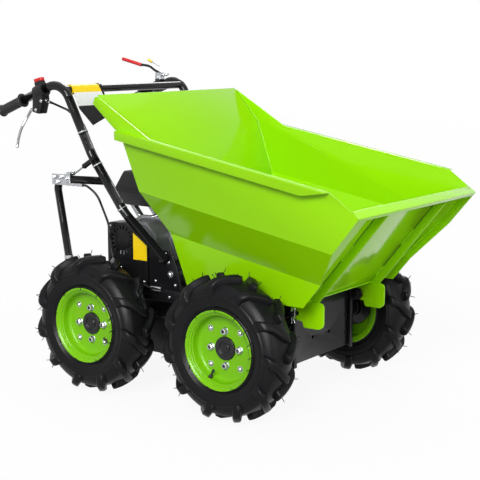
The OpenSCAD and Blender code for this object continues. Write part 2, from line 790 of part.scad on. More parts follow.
// Gear shift on the right-hand brace: a clamp with a side plate, a lug for the lever and a cable adjuster
shift_at = lerp(brace_path[1], brace_path[0], 0.22);
clamp_l = 22;
clamp_t = 5;
plate_h = 34;
plate_back = 50;
plate_front = 30;
plate_t = 4;
adjuster_l = 54;
adjuster_d = 10;
lug_l = 16;
lever_d = 6;
lever_run = [92, 0, 56];
handle_d = 17;
plate_out = brace_d / 2 + clamp_t;
adjuster_z = (adjuster_d - plate_h) / 2;
lug_low = brace_d / 2 + 2;
lug_top = brace_d / 2 + clamp_t + lug_l / 2;
lever_foot = shift_at + [plate_front + lever_d / 3, 0, lug_top - lever_d];
lever_tip = lever_foot + lever_run;
handle_from = lerp(lever_foot, lever_tip, 0.5);
module shift_bracket() color(steel) datum() {
    along = unit(brace_path[0] - brace_path[1]);
    mid_y = -plate_out + plate_t / 2;
    difference() {
        union() {
            rod(shift_at - along * clamp_l / 2, shift_at + along * clamp_l / 2, brace_d + 2 * clamp_t);
            box(shift_at + [-plate_back, -plate_out, -plate_h / 2],
                shift_at + [plate_front, -plate_out + plate_t, plate_h / 2]);
            box(shift_at + [plate_front - lug_l, -plate_out, lug_low],
                shift_at + [plate_front, lever_d, lug_top]);
            rod(shift_at + [plate_front - lug_l, mid_y, adjuster_z],
                shift_at + [plate_front + adjuster_l, mid_y, adjuster_z], adjuster_d);
        }
        rod(shift_at - along * plate_back, shift_at + along * adjuster_l, brace_d + 4 * seat_gap);
    }
}
module shift_lever() color(steel) datum() {
    rod(lever_foot, lever_tip, lever_d);
}
module shift_knob() color(black) datum() difference() {
    union() {
        rod(handle_from, lever_tip, handle_d);
        knob(lever_tip, handle_from, handle_d + 1);
        knob(handle_from, lever_tip, handle_d + 1);
    }
    rod(lever_foot, lever_tip, lever_d + 2 * seat_gap);
}

// Stop on the right-hand bracket where the shift cable goes down to the gearbox
stop_x = 144;
stop_l = 40;
stop_up = 4;
stop_d = 14;
stop_out = 12;
module cable_stop() color(steel) datum() {
    y = -deck_y - stop_out;
    rod([stop_x, y, deck_z + stop_up], [stop_x + stop_l, y, deck_z + stop_up], stop_d);
    box([stop_x + stop_l / 3, y, deck_z - stop_d / 2],
        [stop_x + 0.8 * stop_l, -deck_y, deck_z + stop_d / 2]);
}

// Control cables. Two are held along the inner sides of the handlebar tubes, from the hand controls to the
// belt guard and to the deck, and one runs from the shift bracket past the belt guard to its stop.
cable_d = 7;
cable_gap = 0.3;
cable_off = tube_d / 2 + cable_d / 2 + 1;
cable_run = [for (p = bar_path) p + [0, cable_off, 0]];
cable_top = [
    grip_line(control_x + 20, -1) + [0, 0, -36], [bar_top_x + 2, -grip_y + cable_off, bar_top_z - 92],
    lerp(cable_run[2], cable_run[3], 0.42), cable_run[2], cable_run[1]
];
right_radii = [34, 60, 300, 90, 16];
left_radii = [34, 60, 300, 70, 26];
guard_mid_y = -deck_y + guard_depth / 2;
guard_end = [guard_front - 26, guard_mid_y - 7, deck_z + guard_front_h];
deck_end = [case_front + shroud_out + 2 * cable_d, -deck_y + bracket_t + 2 * cable_d, deck_z];
// Run of the shift cable: out of the adjuster, down outside the belt guard and forward to the stop
fall_x = -26;
fall_z = 500;
turn_x = -14;
turn_up = 32;
shift_start = shift_at + [plate_front + adjuster_l + cable_gap, -plate_out + plate_t / 2, adjuster_z];
shift_run = [
    shift_start, shift_start + [14, 0, 0], shift_start + [50, 10, -25], [fall_x, -deck_y - stop_out, fall_z],
    [turn_x, -deck_y - stop_out, deck_z + turn_up],
    [stop_x - 3 * cable_gap, -deck_y - stop_out, deck_z + stop_up]
];
shift_radii = [20, 80, 200, 105];
module control_cables() color(rubber) datum() {
    difference() {
        bent_bar(concat(cable_top, [lerp(cable_run[1], cable_run[0], 0.24), guard_end]),
                 right_radii, cable_d);
        plate_xz(-deck_y - past, -deck_y + guard_depth + past) guard_outline(-cable_gap);
        grip_axes(control_x, -1) plate_xz(-track, track) housing_outline(cable_gap);
    }
    bent_bar(shift_run, shift_radii, cable_d);
    difference() {
        mirror([0, 1, 0])
            bent_bar(concat(cable_top, [lerp(cable_run[1], cable_run[0], 0.16), deck_end]),
                     left_radii, cable_d);
        translate([-deck_rear, 0, 0]) cube([deck_rear + deck_front, track, deck_z + cable_gap]);
    }
}

// Skip

rim_slope = atan2(rim_rear_z - rim_front_z, rim_front - rim_rear);
// Height square to the rim line
function square_h(x, z) = x * sin(rim_slope) + z * cos(rim_slope);
rim_h = square_h(rim_rear, rim_rear_z);
low_h = rim_h - low_drop;
mid_h = rim_h - mid_drop;
deep = 260;
// Half section of the skip, outer faces, from the floor to the tips of the wings
section = [
    [half_floor, low_h - deep], [half_low, low_h], [half_mid, mid_h], [half_top, rim_h],
    [half_top + 2, rim_h + deep]
];
// Open path moved to its left by t, with mitred corners
function left_of(a, b) = let (d = unit(b - a)) [-d.y, d.x];
function moved(pts, t) = [for (i = [0:len(pts) - 1])
    let (n0 = left_of(pts[max(i - 1, 0)], pts[max(i, 1)]),
         n1 = left_of(pts[min(i, len(pts) - 2)], pts[min(i + 1, len(pts) - 1)]))
    pts[i] + (n0 + n1) * t / (1 + n0 * n1)];
section_in = moved(section, sheet);
function reversed(pts) = [for (i = [len(pts) - 1:-1:0]) pts[i]];

// Plane shape in y and square height, extruded along the rim line over the whole length of the skip
skip_reach = lip_x - wing_x;
module along_rim() {
    rotate([0, rim_slope, 0]) plate_yz(-skip_reach, skip_reach) children();
}
module side_sheet() along_rim() polygon(concat(section, reversed(section_in)));
module inner_section() along_rim() polygon(concat(section_in, reversed([for (p = section_in) [-p.x, p.y]])));

// Front wall, set back from the front edges of the side panels, and rear wall: outer faces and their slopes
front_run = unit([lip_x - floor_front, lip_z - floor_z]);
front_in = [-front_run.y, front_run.x];
lip = [lip_x, lip_z];
wall_top = lip + front_in * front_recess;
wall_low = wall_top - front_run * (wall_top.y - floor_z) / front_run.y;
rear_run = unit([fold_x - floor_rear, fold_z - floor_z]);
rear_in = [rear_run.y, -rear_run.x];
wing = [wing_x, wing_z];
fold = [fold_x, fold_z];
// Inner faces of the two walls, at height h above the underside of the floor
function front_face(h) = [wall_low.x + (h * front_run.x - sheet) / front_run.y, floor_z + h];
function rear_face(h) = [floor_rear + (h * rear_run.x + sheet) / rear_run.y, floor_z + h];

module skip_side_outline() polygon(concat(
    [[floor_rear, floor_z], [floor_front, floor_z], lip, [rim_front, rim_front_z], [rim_rear, rim_rear_z]],
    corner([rim_rear, rim_rear_z], wing, wing + [-14, -24], 9, 4),
    [wing + [-12, -25], fold + [-21, 9], fold + [-3, 2]]
));
// Length of the taper at the front end of the rim flange
rim_taper = 80;
module rim_flange() intersection() {
    along_rim() {
        translate([half_top - 2 * sheet, rim_h - sheet]) square([rim_out + 2 * sheet, sheet]);
        translate([half_top + rim_out - sheet, rim_h - rim_down]) square([sheet, rim_down]);
    }
    plate_xz(0, track) polygon([
        [fold_x - 5, fold_z + 2 * rim_down], [fold_x - 5, fold_z - 2 * rim_down],
        [rim_front - rim_taper, rim_front_z - 4 * rim_down],
        [rim_front - rim_taper, rim_front_z - rim_down / 2],
        [rim_front - 2, rim_front_z - 1], [rim_front - 2, fold_z]
    ]);
}
module skip_side() {
    intersection() {
        side_sheet();
        plate_xz(0, track) skip_side_outline();
    }
    difference() {
        rim_flange();
        inner_section();
    }
}
module skip_side_left() color(green) skip_datum() skip_side();
module skip_side_right() color(green) skip_datum() mirror([0, 1, 0]) skip_side();
module in_skip() intersection() {
    plate_xz(-track / 2, track / 2) children();
    inner_section();
}
module skip_floor() color(green) skip_datum() in_skip()
    polygon([rear_face(0), front_face(0), front_face(sheet), rear_face(sheet)]);
module skip_front() color(green) skip_datum() in_skip() polygon([
    wall_low, wall_top - front_run * sheet, lip - front_run * sheet + front_in * sheet,
    lip - front_run * lip_down + front_in * sheet, lip - front_run * lip_down, lip,
    wall_top + front_in * sheet, front_face(0)
]);
module skip_rear() color(green) skip_datum() in_skip() {
    wing_run = unit(wing - fold);
    wing_in = [wing_run.y, -wing_run.x];
    polygon([
        [floor_rear, floor_z], rear_face(0), fold + (rear_in + wing_in) * sheet / (1 + rear_in * wing_in),
        wing + wing_in * sheet, wing, fold
    ]);
}
// Flat ribs that stand on the front wall as high as the lip, over the ears
weld_gap = 0.05;
module skip_ribs() color(green) skip_datum() both_sides() {
    under_lip = lip - front_run * (lip_down + 2);
    plate_xz(rib_y - rib_t / 2, rib_y + rib_t / 2) polygon([
        [floor_front, floor_z], under_lip, under_lip + front_in * (front_recess - weld_gap),
        wall_low + [weld_gap / front_run.y, 0]
    ]);
}
// Pivot ears under the front of the skip floor
ear_l = 92;
ear_drop = 40;
ear_round = 14;
module skip_ears() color(green) skip_datum() both_sides() difference() {
    low = pivot_z - ear_drop;
    end = pivot_x + ear_l;
    plate_xz(ear_in, ear_in + ear_t) {
        translate([pivot_x, pivot_z]) circle(lug_r);
        polygon(concat(
            [[pivot_x - lug_r, pivot_z], [pivot_x, pivot_z - lug_r], [pivot_x + lug_r, pivot_z - lug_r - 3]],
            corner([pivot_x + lug_r, pivot_z], [pivot_x + lug_r + 4, low], [end, low], 6, 4),
            corner([pivot_x + lug_r + 4, low], [end, low], [end, floor_z], lug_r, 6),
            corner([end, low], [end, floor_z], [pivot_x, floor_z], ear_round, 5),
            [[pivot_x - lug_r, floor_z]]
        ));
    }
    pin_hole(pivot_x);
}

// Wheels: turned about local Z, which points away from the machine

// Tyre: round crown and round side walls, with two beads between the rim flanges
crown_r = 110;
side_r = 52;
side_out = 3;
bulge_up = 36;
bead_t = 9;
bead_h = 20;
carcass_r = tyre_d / 2 - lug_h;
crown_mid = carcass_r - crown_r;
bulge_r = rim_d / 2 + bulge_up;
side_in = tyre_w / 2 - side_out - side_r;
bead_z = rim_w / 2 - rim_wall - seat_gap;
module both_ends() {
    children();
    mirror([0, 1]) children();
}
// Half plane section of the carcass, with its surface moved in by t
module carcass_section(t) intersection() {
    translate([crown_mid, 0]) circle(crown_r - t);
    union() {
        both_ends() translate([bulge_r, side_in]) circle(side_r - t);
        translate([bulge_r - side_r / 2, -side_in]) square([1.5 * side_r - t - bead_t / 2, 2 * side_in]);
    }
}
module tyre_outside() rotate_extrude() {
    carcass_section(0);
    both_ends() translate([bead_d / 2 + seat_gap, bead_z - bead_t]) square([bead_h, bead_t]);
}
module tyre_inside() rotate_extrude() {
    carcass_section(tyre_wall);
    translate([bead_d / 2 - bead_t, bead_t - bead_z]) square([bead_h + 2 * bead_t, 2 * (bead_z - bead_t)]);
}
// Space that the lugs fill: under the crown of their tips and above the side wall's widest ring
lug_shoulder = 14;
module lug_space() rotate_extrude() intersection() {
    translate([crown_mid, 0]) circle(crown_r + lug_h);
    polygon([
        [bulge_r, -tyre_w / 2], [bulge_r + lug_w, -tyre_w / 2], [tyre_d / 2, lug_shoulder - tyre_w / 2],
        [tyre_d / 2, tyre_w / 2 - lug_shoulder], [bulge_r + lug_w, tyre_w / 2], [bulge_r, tyre_w / 2]
    ]);
}
// Plan of one lug: across the shoulder, then swept to just past the middle of the tread
module lug_plan() {
    half = tyre_w / 2;
    polygon([
        [-lug_w / 2, half + past], [-lug_w / 2, 0.7 * half], [-lug_w / 2 - lug_sweep, -6],
        [lug_w / 3 - lug_sweep, -6], [lug_w / 2, 0.6 * half], [lug_w / 2, half + past]
    ]);
}
module tyre() color(rubber) difference() {
    union() {
        tyre_outside();
        intersection() {
            lug_space();
            for (side = [0, 1], k = [0:lug_count - 1])
                mirror([0, 0, side]) rotate([0, 0, (k + side / 2) * 360 / lug_count])
                    plate_yz(bulge_r - past, tyre_d / 2 + past) lug_plan();
        }
    }
    tyre_inside();
}
// Rim: barrel with rolled flanges, and a flat disc with a wide fillet at the barrel
roll_d = 6;
fillet_r = 13;
module rim() color(green) rotate_extrude() {
    barrel_r = bead_d / 2 - rim_wall;
    low = disc_out - disc_t;
    translate([barrel_r, -rim_w / 2]) square([rim_wall, rim_w]);
    both_ends() {
        translate([barrel_r, rim_w / 2 - rim_wall]) square([(rim_d - roll_d) / 2 - barrel_r, rim_wall]);
        translate([(rim_d - roll_d) / 2, rim_w / 2]) circle(d = roll_d);
    }
    polygon([
        [hub_d / 2 + seat_gap, low], [barrel_r + past, low],
        [barrel_r + past, disc_out], [hub_d / 2 + seat_gap, disc_out]
    ]);
    difference() {
        translate([barrel_r - fillet_r, disc_out - past]) square(fillet_r + past);
        translate([barrel_r - fillet_r, disc_out + fillet_r]) circle(fillet_r);
    }
}
// Hub: boss with a sunk cap, flange behind the rim disc and shaft in the axle tube
cap_out = 6;
cap_sunk = 4;
module hub() color(black) {
    cap = disc_out + cap_out;
    inner = hub_in - track / 2;
    shaft_end = shaft_in - track / 2;
    difference() {
        translate([0, 0, inner]) cylinder(h = cap - inner, d = hub_d);
        translate([0, 0, cap - cap_sunk]) cylinder(h = cap_out, d = 0.6 * hub_d);
    }
    translate([0, 0, disc_out - disc_t - hub_flange_t]) cylinder(h = hub_flange_t, d = hub_flange_d);
    translate([0, 0, shaft_end]) cylinder(h = inner - shaft_end + past, d = shaft_d);
}
module at_right(x) datum() translate([x, -track / 2, axle_z]) rotate([90, 0, 0]) children();
module at_left(x) mirror([0, 1, 0]) at_right(x) children();
module tyre_front_right() at_right(front_axle_x) tyre();
module rim_front_right() at_right(front_axle_x) rim();
module hub_front_right() at_right(front_axle_x) hub();
module tyre_front_left() at_left(front_axle_x) tyre();
module rim_front_left() at_left(front_axle_x) rim();
module hub_front_left() at_left(front_axle_x) hub();
module tyre_rear_right() at_right(rear_axle_x) tyre();
module rim_rear_right() at_right(rear_axle_x) rim();
module hub_rear_right() at_right(rear_axle_x) hub();
module tyre_rear_left() at_left(rear_axle_x) tyre();
module rim_rear_left() at_left(rear_axle_x) rim();
module hub_rear_left() at_left(rear_axle_x) hub();

chassis_tub();
engine_deck();
gearbox();
front_axle_tubes();
rear_axle_tubes();
pivot_pins();
rest_pads();
engine_block();
cylinder_head();
fan_shroud();
recoil_starter();
fuel_tank();
air_cleaner();
muffler();
tank_stays();
belt_guard();
handlebar_brackets();
handlebar_right();
handlebar_left();
cross_bar();
label_panel();
grips();
switch_housing();
kill_switch();
brake_lever();
clutch_mount();
clutch_lever();
trigger_tip();
side_braces();
shift_bracket();
shift_lever();
shift_knob();
cable_stop();
control_cables();
skip_side_right();
skip_side_left();
skip_floor();
skip_front();
skip_rear();
skip_ribs();
skip_ears();
tyre_front_right();
rim_front_right();
hub_front_right();
tyre_front_left();
rim_front_left();
hub_front_left();
tyre_rear_right();
rim_rear_right();
hub_rear_right();
tyre_rear_left();
rim_rear_left();
hub_rear_left();
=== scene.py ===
# %% [markdown]
# A walk-behind site dumper, dressed for the camera. The solids come packed from the CAD model and are
# never moved here. Each cell takes one group of pieces, says what it is on the real machine, and then
# makes its visible skin: softened sheet edges, moulded rubber, weld beads, nuts and paint.

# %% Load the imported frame
import json
from math import acos, asin, atan2, copysign, cos, pi, radians, sin, tan

import bmesh
import bpy
from mathutils import Matrix, Vector


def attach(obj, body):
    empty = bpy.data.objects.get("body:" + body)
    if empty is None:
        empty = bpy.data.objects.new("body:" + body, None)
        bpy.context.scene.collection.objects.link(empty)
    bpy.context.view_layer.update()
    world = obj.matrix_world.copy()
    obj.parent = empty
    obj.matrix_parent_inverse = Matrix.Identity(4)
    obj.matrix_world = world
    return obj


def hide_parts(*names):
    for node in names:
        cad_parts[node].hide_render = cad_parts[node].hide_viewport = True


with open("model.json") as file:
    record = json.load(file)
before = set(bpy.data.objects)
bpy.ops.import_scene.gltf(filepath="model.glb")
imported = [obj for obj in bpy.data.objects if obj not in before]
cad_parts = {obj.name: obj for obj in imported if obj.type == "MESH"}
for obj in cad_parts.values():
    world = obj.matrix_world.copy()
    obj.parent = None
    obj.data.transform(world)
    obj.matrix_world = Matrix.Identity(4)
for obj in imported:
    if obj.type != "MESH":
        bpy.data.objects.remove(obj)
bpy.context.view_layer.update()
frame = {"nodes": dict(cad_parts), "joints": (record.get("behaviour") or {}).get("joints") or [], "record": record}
MM = 0.001
BODY_OF = {node: body for body, nodes in frame["record"]["behaviour"]["bodies"].items() for node in nodes}
SLOT_OF = {part["node"]: part["material_slot"] for part in frame["record"]["subparts"]}
HINGE = {joint["name"]: Vector(joint["pos_m"]) for joint in frame["joints"]}
REAR_AXLE = HINGE["wheel_rear_right_spin"]
FRONT_AXLE = HINGE["wheel_front_right_spin"]
WHEEL_BASE = (FRONT_AXLE.x - REAR_AXLE.x) / MM
AXLE_Z = REAR_AXLE.z / MM
scene = bpy.context.scene


def spot(x, y, z):
    """Place in the frame from mm: x ahead of the rear axle, y to the machine's left, z above the ground."""
    return Vector((REAR_AXLE.x + x * MM, y * MM, z * MM))


# %% [markdown]
# The camera stands a little above the skip's rim, off the front right-hand corner. Its place and its lens
# were solved from the four wheels, whose size is known, so no shift is needed to frame the machine.

# %% Camera
CAMERA_AT = Vector((2.2215, -2.939, 1.067))
CAMERA_TO = Vector((0.0595, 0.0, 0.457))
SENSOR_WIDTH = 36
LENS = 88.35
camera_data = bpy.data.cameras.new("camera")
camera_data.sensor_width = SENSOR_WIDTH
camera_data.lens = LENS
camera = bpy.data.objects.new("camera", camera_data)
camera.location = CAMERA_AT
camera.rotation_euler = (CAMERA_TO - CAMERA_AT).to_track_quat("-Z", "Y").to_euler()
scene.collection.objects.link(camera)
scene.camera = camera
print("camera", round((CAMERA_TO - CAMERA_AT).length, 3), "m away")

# %% [markdown]
# A white studio. One bright world would light the machine from all sides and wash it out. So Light Path
# tells the rays of the camera and of reflections from the rays that only carry light. The first kind sees a
# white world and a white floor that still shows a shadow. The second kind sees a dim world and a grey floor,
# so that the undersides stay dark, as they do over a large studio floor.

# %% Studio world and floor
scene.view_settings.view_transform = "Standard"
AMBIENT = 0.34
FLOOR_GREY = 0.34
FLOOR_GLOW = 0.915
FLOOR_SHADE = 0.075
FLOOR_HALF = 12
FLOOR_DROP = 0.5 * MM


def linked(tree, kind, *inputs, operation=None):
    """New shader node whose first inputs are linked to the given sockets."""
    node = tree.nodes.new(kind)
    if operation:
        node.operation = operation
    for target, source in zip(node.inputs, inputs):
        tree.links.new(source, target)
    return node.outputs[0] if node.outputs else None


def coloured(tree, kind, level, strength=None):
    """New shader node of one grey level, with a strength where it has one."""
    node = tree.nodes.new(kind)
    node.inputs["Color"].default_value = (level, level, level, 1)
    if strength is not None:
        node.inputs["Strength"].default_value = strength
    return node.outputs[0]


def seen_directly(tree):
    """Socket that is 1 for camera, glossy and transmission rays."""
    path = tree.nodes.new("ShaderNodeLightPath").outputs
    glossy = linked(tree, "ShaderNodeMath", path["Is Camera Ray"], path["Is Glossy Ray"], operation="MAXIMUM")
    return linked(tree, "ShaderNodeMath", glossy, path["Is Transmission Ray"], operation="MAXIMUM")


world = bpy.data.worlds.new("studio")
scene.world = world
world.use_nodes = True
sky = world.node_tree
sky.nodes.clear()
dim_sky = coloured(sky, "ShaderNodeBackground", 1, AMBIENT)
white_sky = coloured(sky, "ShaderNodeBackground", 1, 1)
mixed_sky = linked(sky, "ShaderNodeMixShader", seen_directly(sky), dim_sky, white_sky)
linked(sky, "ShaderNodeOutputWorld", mixed_sky)

floor_bm = bmesh.new()
bmesh.ops.create_grid(floor_bm, x_segments=1, y_segments=1, size=FLOOR_HALF)
floor_mesh = bpy.data.meshes.new("floor")
floor_bm.to_mesh(floor_mesh)
floor_bm.free()
floor = bpy.data.objects.new("floor", floor_mesh)
floor.location.z = -FLOOR_DROP
scene.collection.objects.link(floor)
paper = bpy.data.materials.new("studio_paper")
paper.use_nodes = True
paper_tree = paper.node_tree
paper_tree.nodes.clear()
grey_paper = coloured(paper_tree, "ShaderNodeBsdfDiffuse", FLOOR_GREY)
glow = coloured(paper_tree, "ShaderNodeEmission", FLOOR_GLOW, 1)
shade = coloured(paper_tree, "ShaderNodeBsdfDiffuse", FLOOR_SHADE)
white_paper = linked(paper_tree, "ShaderNodeAddShader", glow, shade)
mixed_paper = linked(paper_tree, "ShaderNodeMixShader", seen_directly(paper_tree), grey_paper, white_paper)
linked(paper_tree, "ShaderNodeOutputMaterial", mixed_paper)
floor_mesh.materials.append(paper)
print("floor", floor_mesh.polygons[0].area, "square metres")

# %% [markdown]
# The lamps are wide suns, because a sun lights the whole floor evenly and leaves no dark horizon, where an
# area lamp would leave a pool of light. The key comes over the right-hand side, one from above keeps the load
# space bright, one fills the front. Two narrow ones shine only in reflections, and draw the thin bright lines
# that round black tubes and folded edges have in a studio.

# %% Lamps
LAMPS = {
    "key": ((0.28, -0.80, 0.50), 0.87, 30),
    "top": ((-0.15, 0.25, 0.95), 0.19, 60),
    "front_fill": ((0.97, -0.15, 0.02), 0.60, 60),
}
GLINTS = {
    "tube_glint": ((0.25, -0.93, 0.25), 1.00, 24),
    "bar_glint": ((-0.35, 0.75, 0.56), 0.20, 14),
}
LAMP_FAR = 4
for name, (towards, strength, spread) in (LAMPS | GLINTS).items():
    lamp_data = bpy.data.lights.new(name, "SUN")
    lamp_data.energy = strength * pi
    lamp_data.angle = radians(spread)
    lamp = bpy.data.objects.new(name, lamp_data)
    lamp.location = LAMP_FAR * Vector(towards)
    lamp.rotation_euler = (-Vector(towards)).to_track_quat("-Z", "Y").to_euler()
    lamp.visible_diffuse = name in LAMPS
    scene.collection.objects.link(lamp)
print("lamps", list(LAMPS), "glints", list(GLINTS))

# %% [markdown]
# Every finish is a Principled shader on Object coordinates. Paint, rubber and metal differ in three
# things: how much their colour drifts over the surface, how rough they are, and the grain of the surface.
# A shader could be wired by hand for each, but one function keeps them alike, and each finish is then a
# line of values.

# %% Finishes
NOISE_LOW = 0.25
NOISE_HIGH = 0.75
ROUGH_SPREAD = 0.12
ROUGH_FINER = 5
GRAIN_HEIGHT = 0.4 * MM
FINISH = {}


def noise(tree, coords, scale, detail=4.0):
    """Socket of a noise texture."""
    node = tree.nodes.new("ShaderNodeTexNoise")
    node.inputs["Scale"].default_value = scale
    node.inputs["Detail"].default_value = detail
    tree.links.new(coords, node.inputs["Vector"])
    return node.outputs["Fac"]


def ranged(tree, value, low, high):
    """Socket that spreads a noise between two values."""
    node = tree.nodes.new("ShaderNodeMapRange")
    node.inputs["From Min"].default_value = NOISE_LOW
    node.inputs["From Max"].default_value = NOISE_HIGH
    node.inputs["To Min"].default_value = low
    node.inputs["To Max"].default_value = high
    tree.links.new(value, node.inputs["Value"])
    return node.outputs["Result"]


def surface_finish(name, colour, rough, metal=0.0, drift=0.06, drift_scale=6, grain=500, depth=0.1,
                   specular=0.5):
    """Principled finish: colour drifts by a share, roughness varies, and a fine grain bumps the surface."""
    material = bpy.data.materials.new(name)
    material.use_nodes = True
    material.diffuse_color = (*colour, 1)
    tree = material.node_tree
    shader = tree.nodes["Principled BSDF"]
    coords = tree.nodes.new("ShaderNodeTexCoord").outputs["Object"]
    mix = tree.nodes.new("ShaderNodeMix")
    mix.data_type = "RGBA"
    mix.inputs["A"].default_value = (*[c * (1 - drift) for c in colour], 1)
    mix.inputs["B"].default_value = (*[min(1, c * (1 + drift)) for c in colour], 1)
    tree.links.new(noise(tree, coords, drift_scale), mix.inputs["Factor"])
    tree.links.new(mix.outputs["Result"], shader.inputs["Base Color"])
    blotches = noise(tree, coords, drift_scale * ROUGH_FINER)
    roughness = ranged(tree, blotches, rough * (1 - ROUGH_SPREAD), rough * (1 + ROUGH_SPREAD))
    tree.links.new(roughness, shader.inputs["Roughness"])
    bump = tree.nodes.new("ShaderNodeBump")
    bump.inputs["Strength"].default_value = depth
    bump.inputs["Distance"].default_value = GRAIN_HEIGHT
    tree.links.new(noise(tree, coords, grain, 2), bump.inputs["Height"])
    tree.links.new(bump.outputs["Normal"], shader.inputs["Normal"])
    shader.inputs["Metallic"].default_value = metal
    shader.inputs["Specular IOR Level"].default_value = specular
    FINISH[name] = material


surface_finish("skip_green", (0.285, 0.650, 0.002), 0.11, drift=0.03, drift_scale=3, grain=160, depth=0.03,
               specular=0.15)
# Front wall's green: the same paint as skip_green, painted lighter as painted light for the floor's bounce on it.
surface_finish("wall_green_painted_light", (0.330, 0.750, 0.003), 0.10, drift=0.03, drift_scale=3, grain=160, depth=0.03,
               specular=0.50)
surface_finish("rim_green", (0.172, 0.465, 0.003), 0.18, drift=0.03, drift_scale=9, grain=420, depth=0.04,
               specular=0.18)
surface_finish("chassis_black", (0.007, 0.007, 0.008), 0.30, drift=0.10, grain=700, depth=0.08, specular=0.17)
surface_finish("tube_black", (0.009, 0.009, 0.010), 0.08, drift=0.06, grain=700, depth=0.01, specular=0.22)
surface_finish("engine_black", (0.012, 0.012, 0.013), 0.44, drift=0.12, grain=900, depth=0.25, specular=0.20)
surface_finish("cast_aluminium", (0.34, 0.35, 0.36), 0.44, metal=0.85, drift=0.12, drift_scale=20, grain=600,
               depth=0.35)
surface_finish("zinc_steel", (0.47, 0.48, 0.50), 0.24, metal=1.0, drift=0.14, drift_scale=60, grain=900,
               depth=0.08)
surface_finish("rubber_black", (0.013, 0.013, 0.014), 0.50, drift=0.15, grain=800, depth=0.2, specular=0.24)
surface_finish("tyre_black", (0.007, 0.007, 0.008), 0.34, drift=0.30, drift_scale=18, grain=300, depth=0.3,
               specular=0.10)
surface_finish("switch_red", (0.58, 0.012, 0.014), 0.30, drift=0.05, grain=900, depth=0.05, specular=0.35)
surface_finish("label_yellow", (0.88, 0.62, 0.005), 0.34, drift=0.03, grain=900, depth=0.03, specular=0.30)
surface_finish("tip_yellow", (0.86, 0.60, 0.05), 0.34, drift=0.04, grain=900, depth=0.05, specular=0.30)
surface_finish("muffler_steel", (0.34, 0.32, 0.30), 0.40, metal=1.0, drift=0.22, drift_scale=26, grain=300)
surface_finish("hub_black", (0.008, 0.008, 0.009), 0.28, drift=0.15, specular=0.30)
surface_finish("sign_white", (0.80, 0.81, 0.80), 0.40, drift=0.02, grain=900, depth=0.03)
surface_finish("tie_grey", (0.45, 0.46, 0.47), 0.40, drift=0.05, grain=900, depth=0.05)
print("finishes", len(FINISH))

# %% [markdown]
# Sheet metal never has razor edges: it is sheared, folded and powder coated, and every edge catches a thin
# line of light. Each CAD solid is copied. Where it is sheet or a casting, its loose triangles are merged back
# into whole faces and its sharp edges get a narrow bevel, while tubes and cables keep their round form. A
# Bevel modifier could do the same, but the operator leaves a plain mesh.
# The front wall is seen almost along its face and mirrors the floor, so it gets a glossier finish. Its
# green is painted lighter than the rest of the skip's: painted light for the light the wall takes from the floor.

# %% Skins over the CAD solids
MERGE = 0.01
FLAT = radians(0.4)
SHARP = radians(28)


def placed(name, bm, finishes, body, replaces=(), smooth=35):
    """Object at the origin from a bmesh, riding on a body and standing for CAD nodes."""
    mesh = bpy.data.meshes.new(name)
    bm.to_mesh(mesh)
    bm.free()
    mesh.shade_smooth()
    mesh.set_sharp_from_angle(angle=radians(smooth))
    for finish in finishes:
        mesh.materials.append(FINISH[finish])
    piece = bpy.data.objects.new(name, mesh)
    scene.collection.objects.link(piece)
    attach(piece, body)
    if replaces:
        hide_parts(*replaces)
    return piece


def bevelled(bm, edges, width, segments=2):
    """Round the given edges."""
    bmesh.ops.bevel(bm, geom=edges, offset=width, offset_type="OFFSET", affect="EDGES", segments=segments,
                    profile=0.5, material=-1, clamp_overlap=True)


def merged_copy(node):
    """Mesh of a CAD node with its loose triangles joined."""
    bm = bmesh.new()
    bm.from_mesh(frame["nodes"][node].data)
    bmesh.ops.remove_doubles(bm, verts=bm.verts, dist=MERGE * MM)
    return bm


def whole_faces(bm):
    """Make flat groups of triangles into single faces."""
    bmesh.ops.dissolve_limit(bm, angle_limit=FLAT, verts=bm.verts, edges=bm.edges)


def skin(node, edge=0.0, finish=None):
    """Copy of a CAD node in its finish, with its sharp edges rounded by a width in mm."""
    bm = merged_copy(node)
    if edge:
        whole_faces(bm)
        sharp = [e for e in bm.edges if len(e.link_faces) == 2 and e.calc_face_angle(0) > SHARP]
        bevelled(bm, sharp, edge * MM)
    return placed("skin_" + node, bm, [finish or SLOT_OF[node]], BODY_OF[node], [node])


SHEET = {
    "skip_side_right": 1.2, "skip_side_left": 1.2, "skip_floor": 0.8, "skip_rear": 1.2, "skip_ribs": 1.2,
    "skip_ears": 1.2, "chassis_tub": 1.2, "engine_deck": 1.5, "handlebar_brackets": 1.0,
    "belt_guard": 0.8, "fuel_tank": 2.5, "air_cleaner": 1.5, "muffler": 1.0, "engine_block": 1.2,
    "cylinder_head": 0.8, "fan_shroud": 2.5, "recoil_starter": 1.5, "rest_pads": 3.0, "switch_housing": 1.5,
    "shift_bracket": 1.0, "pivot_pins": 1.5, "tank_stays": 1.0, "cable_stop": 0.8,
}
ROUND = ["front_axle_tubes", "rear_axle_tubes", "shift_lever", "gearbox", "control_cables"]
TUBES = ["handlebar_right", "handlebar_left", "cross_bar", "side_braces", "shift_knob"]
for node, edge in SHEET.items():
    skin(node, edge)
for node in ROUND:
    skin(node)
for node in TUBES:
    skin(node, finish="tube_black")
# The front wall takes the lighter green, which is painted light, not a paint of its own.
skin("skip_front", 1.2, "wall_green_painted_light")
print("skins", len(SHEET) + len(ROUND) + len(TUBES) + 1)

# %% [markdown]
# Turned and pressed pieces, from tyres to nuts, are one profile spun about an axis. Small ones could be
# objects that share a mesh, but one joined mesh is easier to ride on a body. So each is made once, about its
# own Z axis in millimetres, and then copied to its places in a larger mesh.

# %% Helpers for turned and repeated pieces
SLIVER = 0.001


